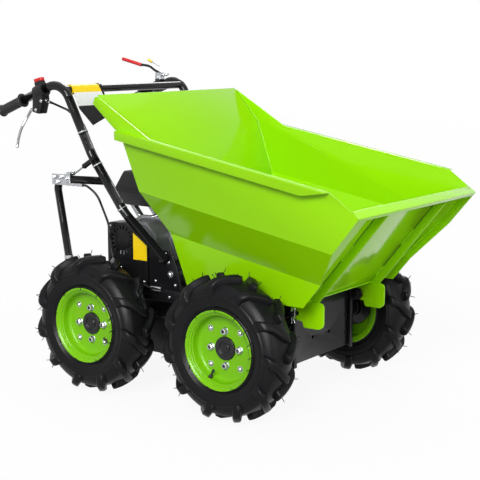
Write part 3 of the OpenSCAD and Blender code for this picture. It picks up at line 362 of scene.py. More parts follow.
def spun(profile, steps, closed=True):
    """Ring made by turning a profile of (radius, z) points, in mm, about Z."""
    bm = bmesh.new()
    points = [bm.verts.new((r, 0, z)) for r, z in profile]
    pairs = zip(points, points[1:] + points[:1]) if closed else zip(points, points[1:])
    edges = [bm.edges.new(pair) for pair in pairs]
    bmesh.ops.spin(bm, geom=points + edges, cent=(0, 0, 0), axis=(0, 0, 1), dvec=(0, 0, 0), angle=2 * pi,
                   steps=steps, use_merge=True, use_duplicate=False)
    bmesh.ops.remove_doubles(bm, verts=bm.verts, dist=MERGE)
    bmesh.ops.recalc_face_normals(bm, faces=bm.faces)
    return bm


def turned(profile, steps=16):
    """Solid whose profile starts and ends on the axis."""
    return spun(profile, steps, closed=False)


def arc(mid, radius, start, end, count):
    """Points of an arc in a plane, both ends included."""
    turns = [start + (end - start) * k / count for k in range(count + 1)]
    return [(mid[0] + radius * cos(turn), mid[1] + radius * sin(turn)) for turn in turns]


def sized(point):
    """Matrix that puts a piece in mm at a point of the frame."""
    return Matrix.Translation(point) @ Matrix.Scale(MM, 4)


def along_z(normal):
    """Matrix that turns the Z axis to a normal."""
    return Vector((0, 0, 1)).rotation_difference(Vector(normal)).to_matrix().to_4x4()


def facing(point, normal):
    """Matrix that puts a piece, in mm about its Z axis, on a point with Z along the normal."""
    return Matrix.Translation(point) @ along_z(normal) @ Matrix.Scale(MM, 4)


def join(target, part, places):
    """Copies of a small part at several places in a larger mesh."""
    mesh = bpy.data.meshes.new("part")
    part.to_mesh(mesh)
    part.free()
    for place in places:
        start = len(target.verts)
        target.from_mesh(mesh)
        target.verts.ensure_lookup_table()
        bmesh.ops.transform(target, matrix=place, verts=target.verts[start:])
    bpy.data.meshes.remove(mesh)


def gather(*parts):
    """Mesh of small parts, each copied to its places."""
    bm = bmesh.new()
    for part, places in parts:
        join(bm, part, places)
    return bm


def block(size, edge, segments=2):
    """Box in mm with rounded edges."""
    bm = bmesh.new()
    bmesh.ops.create_cube(bm, size=1)
    bmesh.ops.scale(bm, vec=size, verts=bm.verts)
    bevelled(bm, bm.edges[:], edge, segments)
    return bm


def cut(bm, point, normal, unit):
    """Cut every face along a plane; unit is a millimetre in this mesh."""
    bmesh.ops.bisect_plane(bm, geom=bm.verts[:] + bm.edges[:] + bm.faces[:], dist=SLIVER * unit,
                           plane_co=point, plane_no=normal)


def fresh(name, bm, finish, body, smooth=35, replaces=()):
    """New piece with its faces turned outwards, which may stand for CAD nodes."""
    bmesh.ops.recalc_face_normals(bm, faces=bm.faces)
    return placed(name, bm, [finish], body, replaces, smooth)


def wire(bm, points, radius, sides=8):
    """Round wire through points in the frame: a ring at each point, bridged to the ring before it."""
    rings = []
    for k, point in enumerate(points):
        tangent = points[min(k + 1, len(points) - 1)] - points[max(k - 1, 0)]
        place = Matrix.Translation(point) @ along_z(tangent)
        made = bmesh.ops.create_circle(bm, segments=sides, radius=radius * MM, matrix=place)
        rings.append(list({edge for vert in made["verts"] for edge in vert.link_edges}))
    for low, high in zip(rings, rings[1:]):
        bmesh.ops.bridge_loops(bm, edges=low + high)
    bmesh.ops.holes_fill(bm, edges=rings[0] + rings[-1], sides=sides)


print("helpers ready")

# %% [markdown]
# The tyres are small farm tyres: a round carcass with long curved lugs that start low on the shoulder and
# sweep to the middle of the tread, left and right in turn. The carcass is a profile of two arcs spun about
# the axle, and the lugs are added to it, because carving the gaps between them would be harder to shape.

# %% Tyre carcass
WHEELS = ["front_right", "front_left", "rear_right", "rear_left"]
CROWN_R = 110
CROWN_MID = 198 - CROWN_R
SIDE_R = 52
SIDE_MID = (152.5, 6)
SIDE_END = radians(44.8)
SHOULDER_Z = 42.64
CROWN_TURN = asin(SHOULDER_Z / CROWN_R)
BEAD_TURN = radians(126.9)
WALL = 8
BEAD_OUT = [(102, 36), (102, 45.2), (109.4, 48.2), (116.2, 50.3), (119, 49.2)]
BEAD_IN = [(111, 35)]
SIDE_STEPS = 28
CROWN_STEPS = 8
RINGS_AT = (4, 5, 15)
RING_H = 1.5


def wheel_matrix(wheel):
    """From wheel axes, Z away from the machine and Y up, in mm, to the frame."""
    to_frame = Matrix.Translation(HINGE[f"wheel_{wheel}_spin"])
    mirror = Matrix.Scale(-1 if wheel.endswith("left") else 1, 4, (0, 1, 0))
    return to_frame @ mirror @ Matrix.Rotation(pi / 2, 4, "X") @ Matrix.Scale(MM, 4)


def on_wheel(name, bm, finish, wheel, smooth, replaces=()):
    """Piece made in wheel axes, put on its wheel."""
    bmesh.ops.transform(bm, matrix=wheel_matrix(wheel), verts=bm.verts)
    return fresh(name, bm, finish, "wheel_" + wheel, smooth, replaces)


def carcass_half(inset):
    """Half profile from the bead to the middle of the tread, with two raised rings on the side wall."""
    bead = BEAD_IN if inset else BEAD_OUT
    side = arc(SIDE_MID, SIDE_R - inset, BEAD_TURN, SIDE_END, SIDE_STEPS)
    if not inset:
        for k in RINGS_AT:
            r, z = side[k]
            side[k] = (r, z + RING_H)
    crown = arc((CROWN_MID, 0), CROWN_R - inset, CROWN_TURN, 0, CROWN_STEPS)
    return bead + side + crown[1:]


def mirrored(half):
    """Whole profile from the half on one side of the wheel."""
    return half + [(r, -z) for r, z in reversed(half[:-1])]


print("carcass points", len(mirrored(carcass_half(0))))

# %% [markdown]
# A lug is a box with bevelled edges, sliced along its length so that it can bend. It is first drawn flat: u
# runs along it from the shoulder to the middle of the tread, w across it and h up from the rubber. The
# function laid() then bends any such point over the carcass, so the same function places the lug's faces
# and the thin rubber hairs that the vents of the mould leave on it.

# %% Tyre lugs
LUGS = 11
LUG_L = 88
LUG_W = 37
LUG_H = 17
LUG_ROOT = 4
LUG_EDGE = 4.6
LUG_SLICES = 14
LUG_START = radians(86)
TOP_SHARE = 0.74
FOOT_SHARE = 1.08
INNER_SHARE = 0.80
TOP_LEAN = 3
LOW_RISE = 0.34
RISE_RUN = 30
SWEEP = 60
SWEEP_FROM = 10
SWEEP_RUN = LUG_L - 4
SWEEP_POWER = 0.9
TREAD_R = 195


def on_carcass(u):
    """Radius, z and outward normal at the distance u from the lug's low end, along the carcass."""
    bend = SIDE_R * (LUG_START - SIDE_END)
    if u < bend:
        turn = LUG_START - u / SIDE_R
        return SIDE_MID[0] + SIDE_R * cos(turn), SIDE_MID[1] + SIDE_R * sin(turn), cos(turn), sin(turn)
    turn = CROWN_TURN - (u - bend) / CROWN_R
    return CROWN_MID + CROWN_R * cos(turn), CROWN_R * sin(turn), cos(turn), sin(turn)


def eased(t):
    """Smooth step from 0 to 1."""
    t = min(1, max(0, t))
    return t * t * (3 - 2 * t)


def laid(u, w, h):
    """Point of a lug: u along it, w across it and h above the carcass, in wheel axes."""
    r, z, nr, nz = on_carcass(u)
    rise = h * (LOW_RISE + (1 - LOW_RISE) * eased(u / RISE_RUN)) if h > 0 else h
    turn = (w - SWEEP * eased((u - SWEEP_FROM) / SWEEP_RUN) ** SWEEP_POWER) / TREAD_R
    r, z = r + nr * rise, z + nz * rise
    return Vector((r * cos(turn), r * sin(turn), z))


def one_lug():
    """Lug bent over the carcass, wide at its low end and narrow at its top."""
    bm = bmesh.new()
    bmesh.ops.create_cube(bm, size=1)
    for v in bm.verts:
        top, inner = v.co.z > 0, v.co.x > 0
        half = LUG_W / 2 * (TOP_SHARE if top else FOOT_SHARE) * (INNER_SHARE if inner else 1)
        u = LUG_L * (v.co.x + 0.5) + (TOP_LEAN if top and not inner else 0)
        v.co = Vector((u, copysign(half, v.co.y), LUG_H if top else -LUG_ROOT))
    upper = [e for e in bm.edges if max(v.co.z for v in e.verts) > 0]
    bevelled(bm, upper, LUG_EDGE, 3)
    for k in range(1, LUG_SLICES):
        cut(bm, (LUG_L * k / LUG_SLICES, 0, 0), (1, 0, 0), 1)
    for v in bm.verts:
        v.co = laid(*v.co)
    return bm


print("lug", LUG_L, "mm long,", LUG_W, "mm wide")

# %% [markdown]
# Each tyre is then its carcass, two rows of lugs and the hairs: some on each lug, and longer ones round the
# bead that lie over the edge of the rim. Particle hair would be quicker, but a cone for each hair is a plain
# mesh and stays where it is put. No hair is left where the tyre stands on the ground.

# %% Tyres
CARCASS_STEPS = 110
HAIRS = [(12, 1, 12), (22, -1, 14), (44, 1, 12), (70, -1, 12)]
HAIR_OFF = LUG_W * 0.35
HAIR_FOOT = LUG_H * 0.95
HAIR_UP = LUG_H + 10
HAIR_LEAN = 5
HAIR_R = (1.4, 0.8)
FOOT_TURN = radians(42)
BEAD_HAIRS = (62, 38, 20, 2, -16, 96, 134, 171, 214, 258, 301)
BEAD_HAIR_R = 126
BEAD_HAIR_Z = 50
BEAD_HAIR_L = 21
BEAD_HAIR_SKEW = 0.5
BEAD_HAIR_IN = 0.86
BEAD_HAIR_OUT = 0.46


def add_hair(bm, foot, along, length):
    """Thin rubber hair that the mould's vent leaves on a tyre."""
    place = Matrix.Translation(foot + along.normalized() * length / 2) @ along_z(along)
    bmesh.ops.create_cone(bm, cap_ends=True, segments=5, radius1=HAIR_R[0], radius2=HAIR_R[1], depth=length,
                          matrix=place)


def hairy_lug(place, uneven):
    """Lug with its hairs, apart from those that would touch the ground once it is in its place."""
    part = one_lug()
    for u, across, length in HAIRS:
        foot = laid(u, across * HAIR_OFF, HAIR_FOOT)
        up = laid(u, across * HAIR_OFF, HAIR_UP) - foot
        at = place @ foot
        if abs(atan2(at.x, -at.y)) > FOOT_TURN:
            add_hair(part, foot, up + Vector((0, HAIR_LEAN * across, 0)), length + uneven)
    return part


def tyre(wheel):
    """Carcass, lugs and hairs of one wheel."""
    bm = spun(mirrored(carcass_half(0)) + mirrored(carcass_half(WALL))[::-1], CARCASS_STEPS)
    for side in (0, 1):
        for k in range(LUGS):
            place = Matrix.Rotation(2 * pi * (k + side / 2) / LUGS, 4, "Z")
            place = place @ Matrix.Scale(-1 if side else 1, 4, (0, 0, 1))
            join(bm, hairy_lug(place, (k * 7 + side * 3) % 4), [place])
    for degrees in BEAD_HAIRS:
        turn = radians(degrees)
        foot = Vector((BEAD_HAIR_R * cos(turn), BEAD_HAIR_R * sin(turn), BEAD_HAIR_Z))
        skew = turn + BEAD_HAIR_SKEW
        along = Vector((-BEAD_HAIR_IN * cos(skew), -BEAD_HAIR_IN * sin(skew), BEAD_HAIR_OUT))
        add_hair(bm, foot, along, BEAD_HAIR_L)
    return on_wheel("tyre_" + wheel + "_rubber", bm, "tyre_black", wheel, 40, ["tyre_" + wheel])


for wheel in WHEELS:
    piece = tyre(wheel)
print("tyre faces", len(piece.data.polygons))

# %% [markdown]
# The rims are pressed steel: a rolled flange, a stepped barrel and a flat disc with a wide fillet. The
# section could be spun with sharp corners and bevelled after it, but rounding the section first gives each
# corner its own radius, and the steps catch rings of light as the real ones do.

# %% Rims and hubs
RIM_SECTION = [
    (34.4, 14), (96.5, 14), (98.2, 40), (104, 44.5), (107, 50.5), (112, 54), (116.4, 54.8), (116.4, 51),
    (109, 48.9), (101.4, 46), (101.4, -46), (109, -48.9), (116.4, -50.6), (116.4, -54.5), (110, -53.5),
    (98.4, -49), (97.5, 9), (34.4, 9),
]
RIM_RADII = [0, 12, 5, 4, 4, 3, 1.6, 1.6, 3, 2, 2, 3, 1.6, 1.6, 3, 4, 2, 0]
RIM_STEPS = 96
HUB_EDGE = 1.5


def rounded(points, radii, count=4):
    """Closed outline of (radius, z) points whose corners are arcs of the given radii."""
    made = []
    for k, (corner, radius) in enumerate(zip(points, radii)):
        here = Vector(corner)
        back = (Vector(points[k - 1]) - here).normalized()
        on = (Vector(points[(k + 1) % len(points)]) - here).normalized()
        if not radius:
            made.append(tuple(here))
            continue
        half = back.angle(on) / 2
        mid = here + (back + on).normalized() * radius / sin(half)
        start = here + back * radius / tan(half) - mid
        sweep = start.angle_signed(here + on * radius / tan(half) - mid)
        for step in range(count + 1):
            turn = Matrix.Rotation(-sweep * step / count, 2)
            made.append(tuple(mid + turn @ start))
    return made


for wheel in WHEELS:
    bm = spun(rounded(RIM_SECTION, RIM_RADII), RIM_STEPS)
    on_wheel("rim_" + wheel + "_pressing", bm, "rim_green", wheel, 42, ["rim_" + wheel])
    skin("hub_" + wheel, HUB_EDGE)
print("rims and hubs", 2 * len(WHEELS))

# %% [markdown]
# Four flanged nuts hold the disc to the hub, four domed bolts hold it to the barrel, and a rubber valve comes
# through the barrel towards the hub. A nut could be an extruded hexagon with a bevel, but a profile that is
# spun in six steps gives the hexagon and its chamfer in one go.

# %% Wheel nuts, bolts and valves
DISC_Z = 14
SHAFT_Z = 16
NUT = [(5.4, 4), (5.4, 12.4), (7.6, 12.4), (9.8, 10.8), (9.8, 2.4), (5.4, 2.4)]
WASHER = [(5.4, 0), (11.4, 0), (11.4, 1.4), (10.2, 2.6), (5.4, 2.6)]
STUD = [(0, 8), (4.4, 8), (5.4, 7), (5.4, 0), (0, 0)]
DOME = [(0, 7.4), (2.6, 7.1), (5, 5.8), (6.8, 3.6), (7.2, 1.8), (9.4, 1.8), (9.4, 0), (0, 0)]
VALVE = [(0, 27), (2.6, 27), (3.6, 25.8), (3.6, 16), (2.8, 15), (2.8, 10), (4.4, 8), (5.6, 2), (7.4, 0.6),
         (7.4, -1.5), (0, -1.5)]
SHAFT_END = [(0, 4.6), (6.2, 4.6), (7, 3.8), (7, 2.6), (12.6, 2.6), (14, 1.4), (14, 0), (0, 0)]
NUT_R = 50
NUT_PHASE = 2
DOME_R = 74
DOME_PHASE = 45
VALVE_Z = 30
VALVE_R = 98
VALVE_TURN = {"front_right": -116, "rear_right": -30, "front_left": -80, "rear_left": 160}


def on_disc(radius, degrees, z=DISC_Z):
    """Place on the wheel's disc, in wheel axes."""
    turn = radians(degrees)
    return Matrix.Translation((radius * cos(turn), radius * sin(turn), z)) @ Matrix.Rotation(turn, 4, "Z")


def wheel_piece(name, wheel, finish, *parts):
    """Small parts at their places on a wheel, as one piece."""
    on_wheel(name + "_" + wheel, gather(*parts), finish, wheel, 30)


for wheel in WHEELS:
    nuts = [on_disc(NUT_R, 90 * k + NUT_PHASE) for k in range(4)]
    domes = [on_disc(DOME_R, 90 * k + DOME_PHASE) for k in range(4)]
    shaft = [Matrix.Translation((0, 0, SHAFT_Z))]
    inward = on_disc(VALVE_R, VALVE_TURN[wheel], VALVE_Z) @ Matrix.Rotation(-pi / 2, 4, "Y")
    wheel_piece("wheel_nuts", wheel, "zinc_steel", (spun(NUT, 6), nuts), (spun(WASHER, 18), nuts),
                (turned(DOME), domes))
    wheel_piece("wheel_studs", wheel, "hub_black", (turned(STUD, 12), nuts), (turned(SHAFT_END, 24), shaft))
    wheel_piece("wheel_valve", wheel, "rubber_black", (turned(VALVE, 14), [inward]))
print("wheel fasteners on", len(WHEELS), "wheels")

# %% [markdown]
# The skip is welded from folded sheets. A weld bead is a chain of small overlapping puddles. A bump in the
# paint would look flat in the corner, so the bead is a thin rod cut into short stretches, of which every
# other one is swollen. The seams lie in the inner corners, where walls, sides and floor meet. Places on the
# skip are in mm, with x from the front axle.

# %% Weld seams of the skip
RIM_REAR = (-280, 792)
RIM_FRONT = (334, 683)
RIM_SLOPE = atan2(RIM_REAR[1] - RIM_FRONT[1], RIM_FRONT[0] - RIM_REAR[0])
LOW_FOLD = (448, 258)
MID_FOLD = (569, 341)
RIM_LINE = (731, 349)
SHEET_T = 3
FOLD_INSET = 1.2 * SHEET_T
LOW_LEAN = 4
LOW_RUN = 260
BEAD_R = 2.0
PUDDLE = 3.2
SWELL = (0.92, 1.22)
ALONG = 0.99


def square_height(x, z):
    """Height square to the skip's rim, in mm."""
    return x * sin(RIM_SLOPE) + z * cos(RIM_SLOPE)


def side_y(x, z):
    """Inner face of the skip's side at a place in side view."""
    h = min(square_height(x, z), RIM_LINE[0])
    if h < LOW_FOLD[0]:
        return LOW_FOLD[1] - SHEET_T - LOW_LEAN * (LOW_FOLD[0] - h) / LOW_RUN
    low, high = (LOW_FOLD, MID_FOLD) if h < MID_FOLD[0] else (MID_FOLD, RIM_LINE)
    return low[1] + (high[1] - low[1]) * (h - low[0]) / (high[0] - low[0]) - FOLD_INSET


def on_skip(x, y, z):
    """Place in the frame from mm, with x ahead of the front axle."""
    return Vector((FRONT_AXLE.x + x * MM, y * MM, z * MM))


def seam_points(start, end):
    """Corner between a side and a wall that runs from start to end in side view, broken at the folds."""
    low, high = square_height(*start), square_height(*end)
    folds = [fold for fold in (LOW_FOLD[0], MID_FOLD[0]) if min(low, high) < fold < max(low, high)]
    shares = [0] + sorted((fold - low) / (high - low) for fold in folds) + [1]
    flat = [(start[0] + (end[0] - start[0]) * t, start[1] + (end[1] - start[1]) * t) for t in shares]
    return [(x, side_y(x, z), z) for x, z in flat]


def weld(bm, start, end, radius=BEAD_R):
    """Bead of puddles between two places in the frame."""
    run = end - start
    made = bmesh.ops.create_cone(bm, cap_ends=True, segments=8, radius1=radius, radius2=radius,
                                 depth=run.length / MM, matrix=facing((start + end) / 2, run))
    rails = [e for v in made["verts"] for e in v.link_edges
             if abs((e.verts[1].co - e.verts[0].co).normalized().dot(run.normalized())) > ALONG]
    cuts = max(1, round(run.length / (PUDDLE * MM)))
    grown = bmesh.ops.subdivide_edges(bm, edges=list(set(rails)), cuts=cuts)
    for vert in [g for g in grown["geom_inner"] if isinstance(g, bmesh.types.BMVert)]:
        share = (vert.co - start).dot(run) / run.length_squared
        axis = start + run * share
        vert.co = axis + (vert.co - axis) * SWELL[round(share * (cuts + 1)) % 2]


FLOOR_REAR = (-211, 343)
FLOOR_FRONT = (170, 343)
REAR_FOLD = (-388, 806)
WING_TIP = (-478, 907)
FRONT_TOP = (398, 634)
SEAMS = [(FLOOR_REAR, REAR_FOLD), (REAR_FOLD, WING_TIP), (FLOOR_FRONT, FRONT_TOP), (FLOOR_REAR, FLOOR_FRONT)]
bm = bmesh.new()
for side in (1, -1):
    for start, end in SEAMS:
        points = [on_skip(x, side * y, z) for x, y, z in seam_points(start, end)]
        for a, b in zip(points, points[1:]):
            weld(bm, a, b)
for x, z in (FLOOR_REAR, FLOOR_FRONT):
    weld(bm, on_skip(x, -side_y(x, z), z), on_skip(x, side_y(x, z), z))
fresh("skip_weld_seams", bm, "skip_green", "skip", 50)
print("weld seams", 2 * len(SEAMS) + 2)

# %% [markdown]
# Each rib is a flat plate that stands on the front wall, over the ear that carries the pivot pin. Only short
# stitches of weld hold it, so between them the joint at its foot stays open, and the shade inside it shows as a
# thin dark line. A real gap would be too narrow to show, so a thin black wire is laid in the corner instead, as
# painted shade.

# %% Rib joints and stitches
LIP = Vector((423, 620))
WALL_FOOT = Vector((195, 339))
WALL_UP = (LIP - WALL_FOOT).normalized()
WALL_IN = Vector((-WALL_UP.y, WALL_UP.x))
RECESS = 26
PROUD = 0.5
RIB_Y = 173
RIB_HALF = 2.5
RIB_TOP = 17
RIB_LOW = 354
JOINT_R = 0.9
STITCH_R = 2.8
STITCHES = [(18, 26), (152, 215), (311, 352)]


def at_foot(down, side, face):
    """Place in the corner between a rib and the wall, down from the lip along the wall."""
    place = LIP - WALL_UP * down + WALL_IN * (RECESS - PROUD)
    return on_skip(place.x, side * RIB_Y + face * (RIB_HALF + PROUD), place.y)


joints = bmesh.new()
stitches = bmesh.new()
for side in (1, -1):
    for face in (1, -1):
        wire(joints, [at_foot(RIB_TOP, side, face), at_foot(RIB_LOW, side, face)], JOINT_R, 6)
        for start, end in STITCHES:
            weld(stitches, at_foot(start, side, face), at_foot(end, side, face), STITCH_R)
# The black wires are painted shade: they stand for the shadow inside the open joint at each rib's foot.
fresh("rib_joint_painted_shade", joints, "chassis_black", "skip")
fresh("rib_weld_stitches", stitches, "skip_green", "skip", 50)
print("stitches", 4 * len(STITCHES))

# %% [markdown]
# The skip turns on two pins through its ears. Each pin is kept by a spring clip of bright wire: one straight
# leg through a hole in the pin, and one wavy leg that hugs it. A curve with a round bevel would do, but a
# wire bridged ring by ring is a closed mesh at once.

# %% Spring clips on the pivot pins
PIN = HINGE["skip_tip"]
CLIP_Y = 200
CLIP_R = 1.5
CLIP_LEG = [(-27, 0), (-10, 0), (6, 0), (14, 0)]
CLIP_LOOP = arc((17, 5.4), 5.4, -pi / 2, pi / 2, 6)
CLIP_WAVE = [(12, 10.6), (6, 9.2), (0, 10.4), (-6, 9.4), (-13, 5.6), (-20, 8.6), (-25, 11)]
CLIP = CLIP_LEG + CLIP_LOOP + CLIP_WAVE
bm = bmesh.new()
for side in (1, -1):
    wire(bm, [PIN + Vector((v, side * CLIP_Y, u)) * MM for u, v in CLIP], CLIP_R)
fresh("pivot_spring_clips", bm, "zinc_steel", "chassis", 60)
print("clips on pins at", [round(v, 3) for v in PIN])

# %% [markdown]
# The belt guard is a closed sheet box. It carries a blank yellow plate, small louvres and a few bolts, and
# the bracket in front of it is bolted to the tube with a domed nut. The plate could be a painted patch, but
# as an outline that is filled as one face and then extruded it has an edge, as a real plate has.

# %% Belt guard plate, louvres and bolts
SIDE_PLATE_Y = 228
PLATE = [(61, 403), (116, 403), (116, 450), (104, 458), (61, 486)]
PLATE_T = 0.8
LOUVRE = (4, 18, 2.4)
LOUVRE_EDGE = 1.1
LOUVRES_AT = [(20 + 9 * k, 382) for k in range(5)]
BOLT = [(0, 4.6), (2.8, 4.6), (3.6, 3.8), (3.6, 1.2), (5.4, 1.2), (5.4, 0), (0, 0)]
TUBE_BOLT = (191, 434)
DOMED_NUT = (211, 372)
DOMED_SIZE = 1.25
GUARD_BOLTS = [TUBE_BOLT, (203, 408), (171, 411), (150, 345), (228, 340), (9, 372), (-34, 336), (-34, 500),
               (104, 336)]
SKIRT_BOLTS = [(204, 300), (60, 300), (-120, 300), (-205, 300)]


def sheet(outline, thickness, place):
    """Plate in mm from a plane outline, with its thickness along the normal."""
    bm = bmesh.new()
    face = bm.faces.new([bm.verts.new((x, y, 0)) for x, y in outline])
    grown = bmesh.ops.extrude_face_region(bm, geom=[face], use_keep_orig=True)["geom"]
    top = [g for g in grown if isinstance(g, bmesh.types.BMVert)]
    bmesh.ops.translate(bm, vec=(0, 0, thickness), verts=top)
    bmesh.ops.transform(bm, matrix=place, verts=bm.verts)
    return bm


def outward(side):
    """Axes on a side plate: X forward, Y up, Z away from the machine, in mm from the rear axle."""
    place = Matrix.Translation(spot(0, side * SIDE_PLATE_Y, 0)) @ Matrix.Rotation(pi / 2, 4, "X")
    flip = Matrix.Scale(-side, 4, (0, 0, 1))
    return place @ flip @ Matrix.Scale(MM, 4)


def side_spots(places, side=-1):
    """Matrices for places on a side plate; -1 is the right-hand side."""
    return [outward(side) @ Matrix.Translation((x, z, 0)) for x, z in places]


fresh("guard_blank_plate", sheet(PLATE, PLATE_T, outward(-1)), "label_yellow", "chassis")
domed_nut = [place @ Matrix.Scale(DOMED_SIZE, 4) for place in side_spots([DOMED_NUT])]
right_bolts = side_spots(GUARD_BOLTS + SKIRT_BOLTS)
left_bolts = side_spots(SKIRT_BOLTS + [TUBE_BOLT, DOMED_NUT], 1)
bm = gather((turned(DOME, 18), domed_nut), (turned(BOLT, 12), right_bolts + left_bolts))
fresh("side_bolts", bm, "zinc_steel", "chassis")
bm = gather((block(LOUVRE, LOUVRE_EDGE), side_spots(LOUVRES_AT)))
fresh("guard_louvres", bm, "chassis_black", "chassis")
print("bolts on the right-hand side", len(domed_nut) + len(right_bolts))

# %% [markdown]
# Rubber grips are moulded: a round end, ribs for the hand and a wide guard ring at the inner end. The ribs
# could be an array of rings, but the whole grip is turned in one profile about the line of the handlebar's
# end, so that no seam shows.

# %% Grips
GRIP_END = (-442, 290, 849)
CREST = (-170, 290, 953)
GRIP_R = 16.6
GRIP_BORE = 14.3
GRIP_L = 107.8
GRIP_RIBS = 11
GRIP_RIB_FROM = 16
GRIP_RIB_PITCH = 6.6
GRIP_RIB_DEPTH = 0.9


def grip_axis(side):
    """Outer end of a grip, and the direction along it."""
    end, crest = (spot(x, side * y, z) for x, y, z in (GRIP_END, CREST))
    return end, (crest - end).normalized()


def grip_profile():
    """Profile of a grip from its outer end, with its bore left open for the tube."""
    groove = GRIP_R - GRIP_RIB_DEPTH
    ribs = []
    for k in range(GRIP_RIBS):
        z = GRIP_RIB_FROM + GRIP_RIB_PITCH * k
        ribs += [(groove, z), (GRIP_R, z + 1.4), (GRIP_R, z + 4.6), (groove, z + 6)]
    end = [(0, -4)] + arc((14.6, 1.6), 5.6, -pi / 2, pi / 4, 5) + [(GRIP_R - 1, 12)]
    ring = [(GRIP_R, 92), (18.5, 99)] + arc((20.5, 103.6), 2.6, -pi / 2, pi / 2, 5) + [(17.2, GRIP_L)]
    return end + ribs + ring + [(GRIP_BORE, GRIP_L), (GRIP_BORE, 0), (0, 0)]


bm = gather((turned(grip_profile(), 32), [facing(*grip_axis(side)) for side in (1, -1)]))
fresh("grips_ribbed", bm, "rubber_black", "chassis", 40, ["grips"])
print("grip ribs", 2 * GRIP_RIBS)

# %% [markdown]
# The cables are held to the tubes by ties. A tie is a band round two circles, the tube and the cable beside
# it: two arcs joined by straight stretches, extruded to a band and thickened with solidify. A plain ring
# would stand off the tube. At the foot of each brace a round clamp holds it to its peg.

# %% Cable ties
BAR = [(203, -242.2, 417), (36, -242.2, 552), (-64, -275.7, 726), (-170, -290, 953)]
TUBE_R = 14.4
CABLE_R = 4
CABLE_OFF = 18.5
BAND_W = 4
BAND_T = 1.1
TIES = [(1, 0.05), (1, 0.82), (2, 0.30)]
BRACE_LOW = ((-205, -242.2, 387), (-199, -242.2, 289))
CLAMP = [(12.8, -5), (14.4, -5), (14.4, 5), (12.8, 5)]
CLAMP_SHARE = 0.02


def band():
    """Band in mm round the tube, on the Z axis, and the cable, beside it on the X axis."""
    bm = bmesh.new()
    gape = acos((TUBE_R - CABLE_R) / CABLE_OFF)
    outline = arc((0, 0), TUBE_R, gape, 2 * pi - gape, 16) + arc((CABLE_OFF, 0), CABLE_R, -gape, gape, 6)
    corners = [bm.verts.new((x, y, -BAND_W / 2)) for x, y in outline]
    loop = [bm.edges.new(pair) for pair in zip(corners, corners[1:] + corners[:1])]
    grown = bmesh.ops.extrude_edge_only(bm, edges=loop)["geom"]
    bmesh.ops.translate(bm, vec=(0, 0, BAND_W), verts=[g for g in grown if isinstance(g, bmesh.types.BMVert)])
    bmesh.ops.recalc_face_normals(bm, faces=bm.faces)
    bmesh.ops.solidify(bm, geom=bm.faces[:], thickness=-BAND_T)
    return bm


def tie_place(centre, along, to_cable):
    """Matrix that puts a band on a tube, with its X axis towards the cable."""
    axis_z = along.normalized()
    axis_x = (to_cable - axis_z * to_cable.dot(axis_z)).normalized()
    turn = Matrix((axis_x, axis_z.cross(axis_x), axis_z)).transposed().to_4x4()
    return Matrix.Translation(centre) @ turn @ Matrix.Scale(MM, 4)


places = []
for side in (1, -1):
    for k, share in TIES:
        start, end = (spot(x, -side * y, z) for x, y, z in BAR[k:k + 2])
        places.append(tie_place(start.lerp(end, share), end - start, Vector((0, -side, 0))))
fresh("cable_ties", gather((band(), places)), "tie_grey", "chassis")
clamps = []
for side in (1, -1):
    low, high = (spot(x, side * y, z) for x, y, z in BRACE_LOW)
    clamps.append(facing(low.lerp(high, CLAMP_SHARE), high - low))
fresh("brace_clamps", gather((spun(CLAMP, 24), clamps)), "tie_grey", "chassis")
print("ties", len(places), "clamps", len(clamps))

# %% [markdown]
# The sign on the cross bar is one bent plate: a yellow sleeve, a blank white field and a black point. Three
# separate plates would show gaps, so the CAD skin is cut along two lines with bisect_plane, and each strip
# then takes its own finish. A black strap holds the sign's end.

# %% Sign on the cross bar
CROSS = spot(-164.9, 0, 923.1)
SIGN_LEAN = atan2(BAR[2][0] - BAR[3][0], BAR[3][2] - BAR[2][2])
SIGN_DOWN = Vector((sin(SIGN_LEAN), 0, -cos(SIGN_LEAN)))
WHITE_FROM = 17
WHITE_TO = 62
SIGN_FINISHES = ["label_yellow", "sign_white", "chassis_black"]
STRAP = [(12.3, -6), (17.4, -6), (17.4, 6), (12.3, 6)]
STRAP_AT = CROSS + Vector((0, -134, 0)) * MM
STRIP = (4, 12, 52)
STRIP_DOWN = 36
STRIP_OUT = 14


def striped(node, start, along, limits, finishes):
    """Skin of a CAD node whose finish changes at given distances, in mm, from a start along a line."""
    bm = merged_copy(node)
    whole_faces(bm)
    for limit in limits:
        cut(bm, start + along * limit * MM, along, MM)
    for face in bm.faces:
        far = (face.calc_center_median() - start).dot(along) / MM
        face.material_index = sum(far > limit for limit in limits)
    return placed("skin_" + node, bm, finishes, BODY_OF[node], [node])


striped("label_panel", CROSS, SIGN_DOWN, [WHITE_FROM, WHITE_TO], SIGN_FINISHES)
leaning = Matrix.Translation(STRAP_AT + SIGN_DOWN * STRIP_DOWN * MM) @ Matrix.Rotation(-SIGN_LEAN, 4, "Y")
strip = [leaning @ sized((STRIP_OUT * MM, 0, 0))]
bm = gather((spun(STRAP, 24), [facing(STRAP_AT, (0, 1, 0))]), (block(STRIP, 1.5), strip))
fresh("sign_strap", bm, "chassis_black", "chassis")
print("sign strips", len(SIGN_FINISHES))

# %% [markdown]
# Right-hand controls: a moulded housing with ribs and screws, a red toggle on a black seat, a bright brake
# lever, and a threaded cable adjuster that comes out of the housing's front. All of it is placed in the
# grip's own axes, X along the grip and Z up from it, so that it leans with the grip.

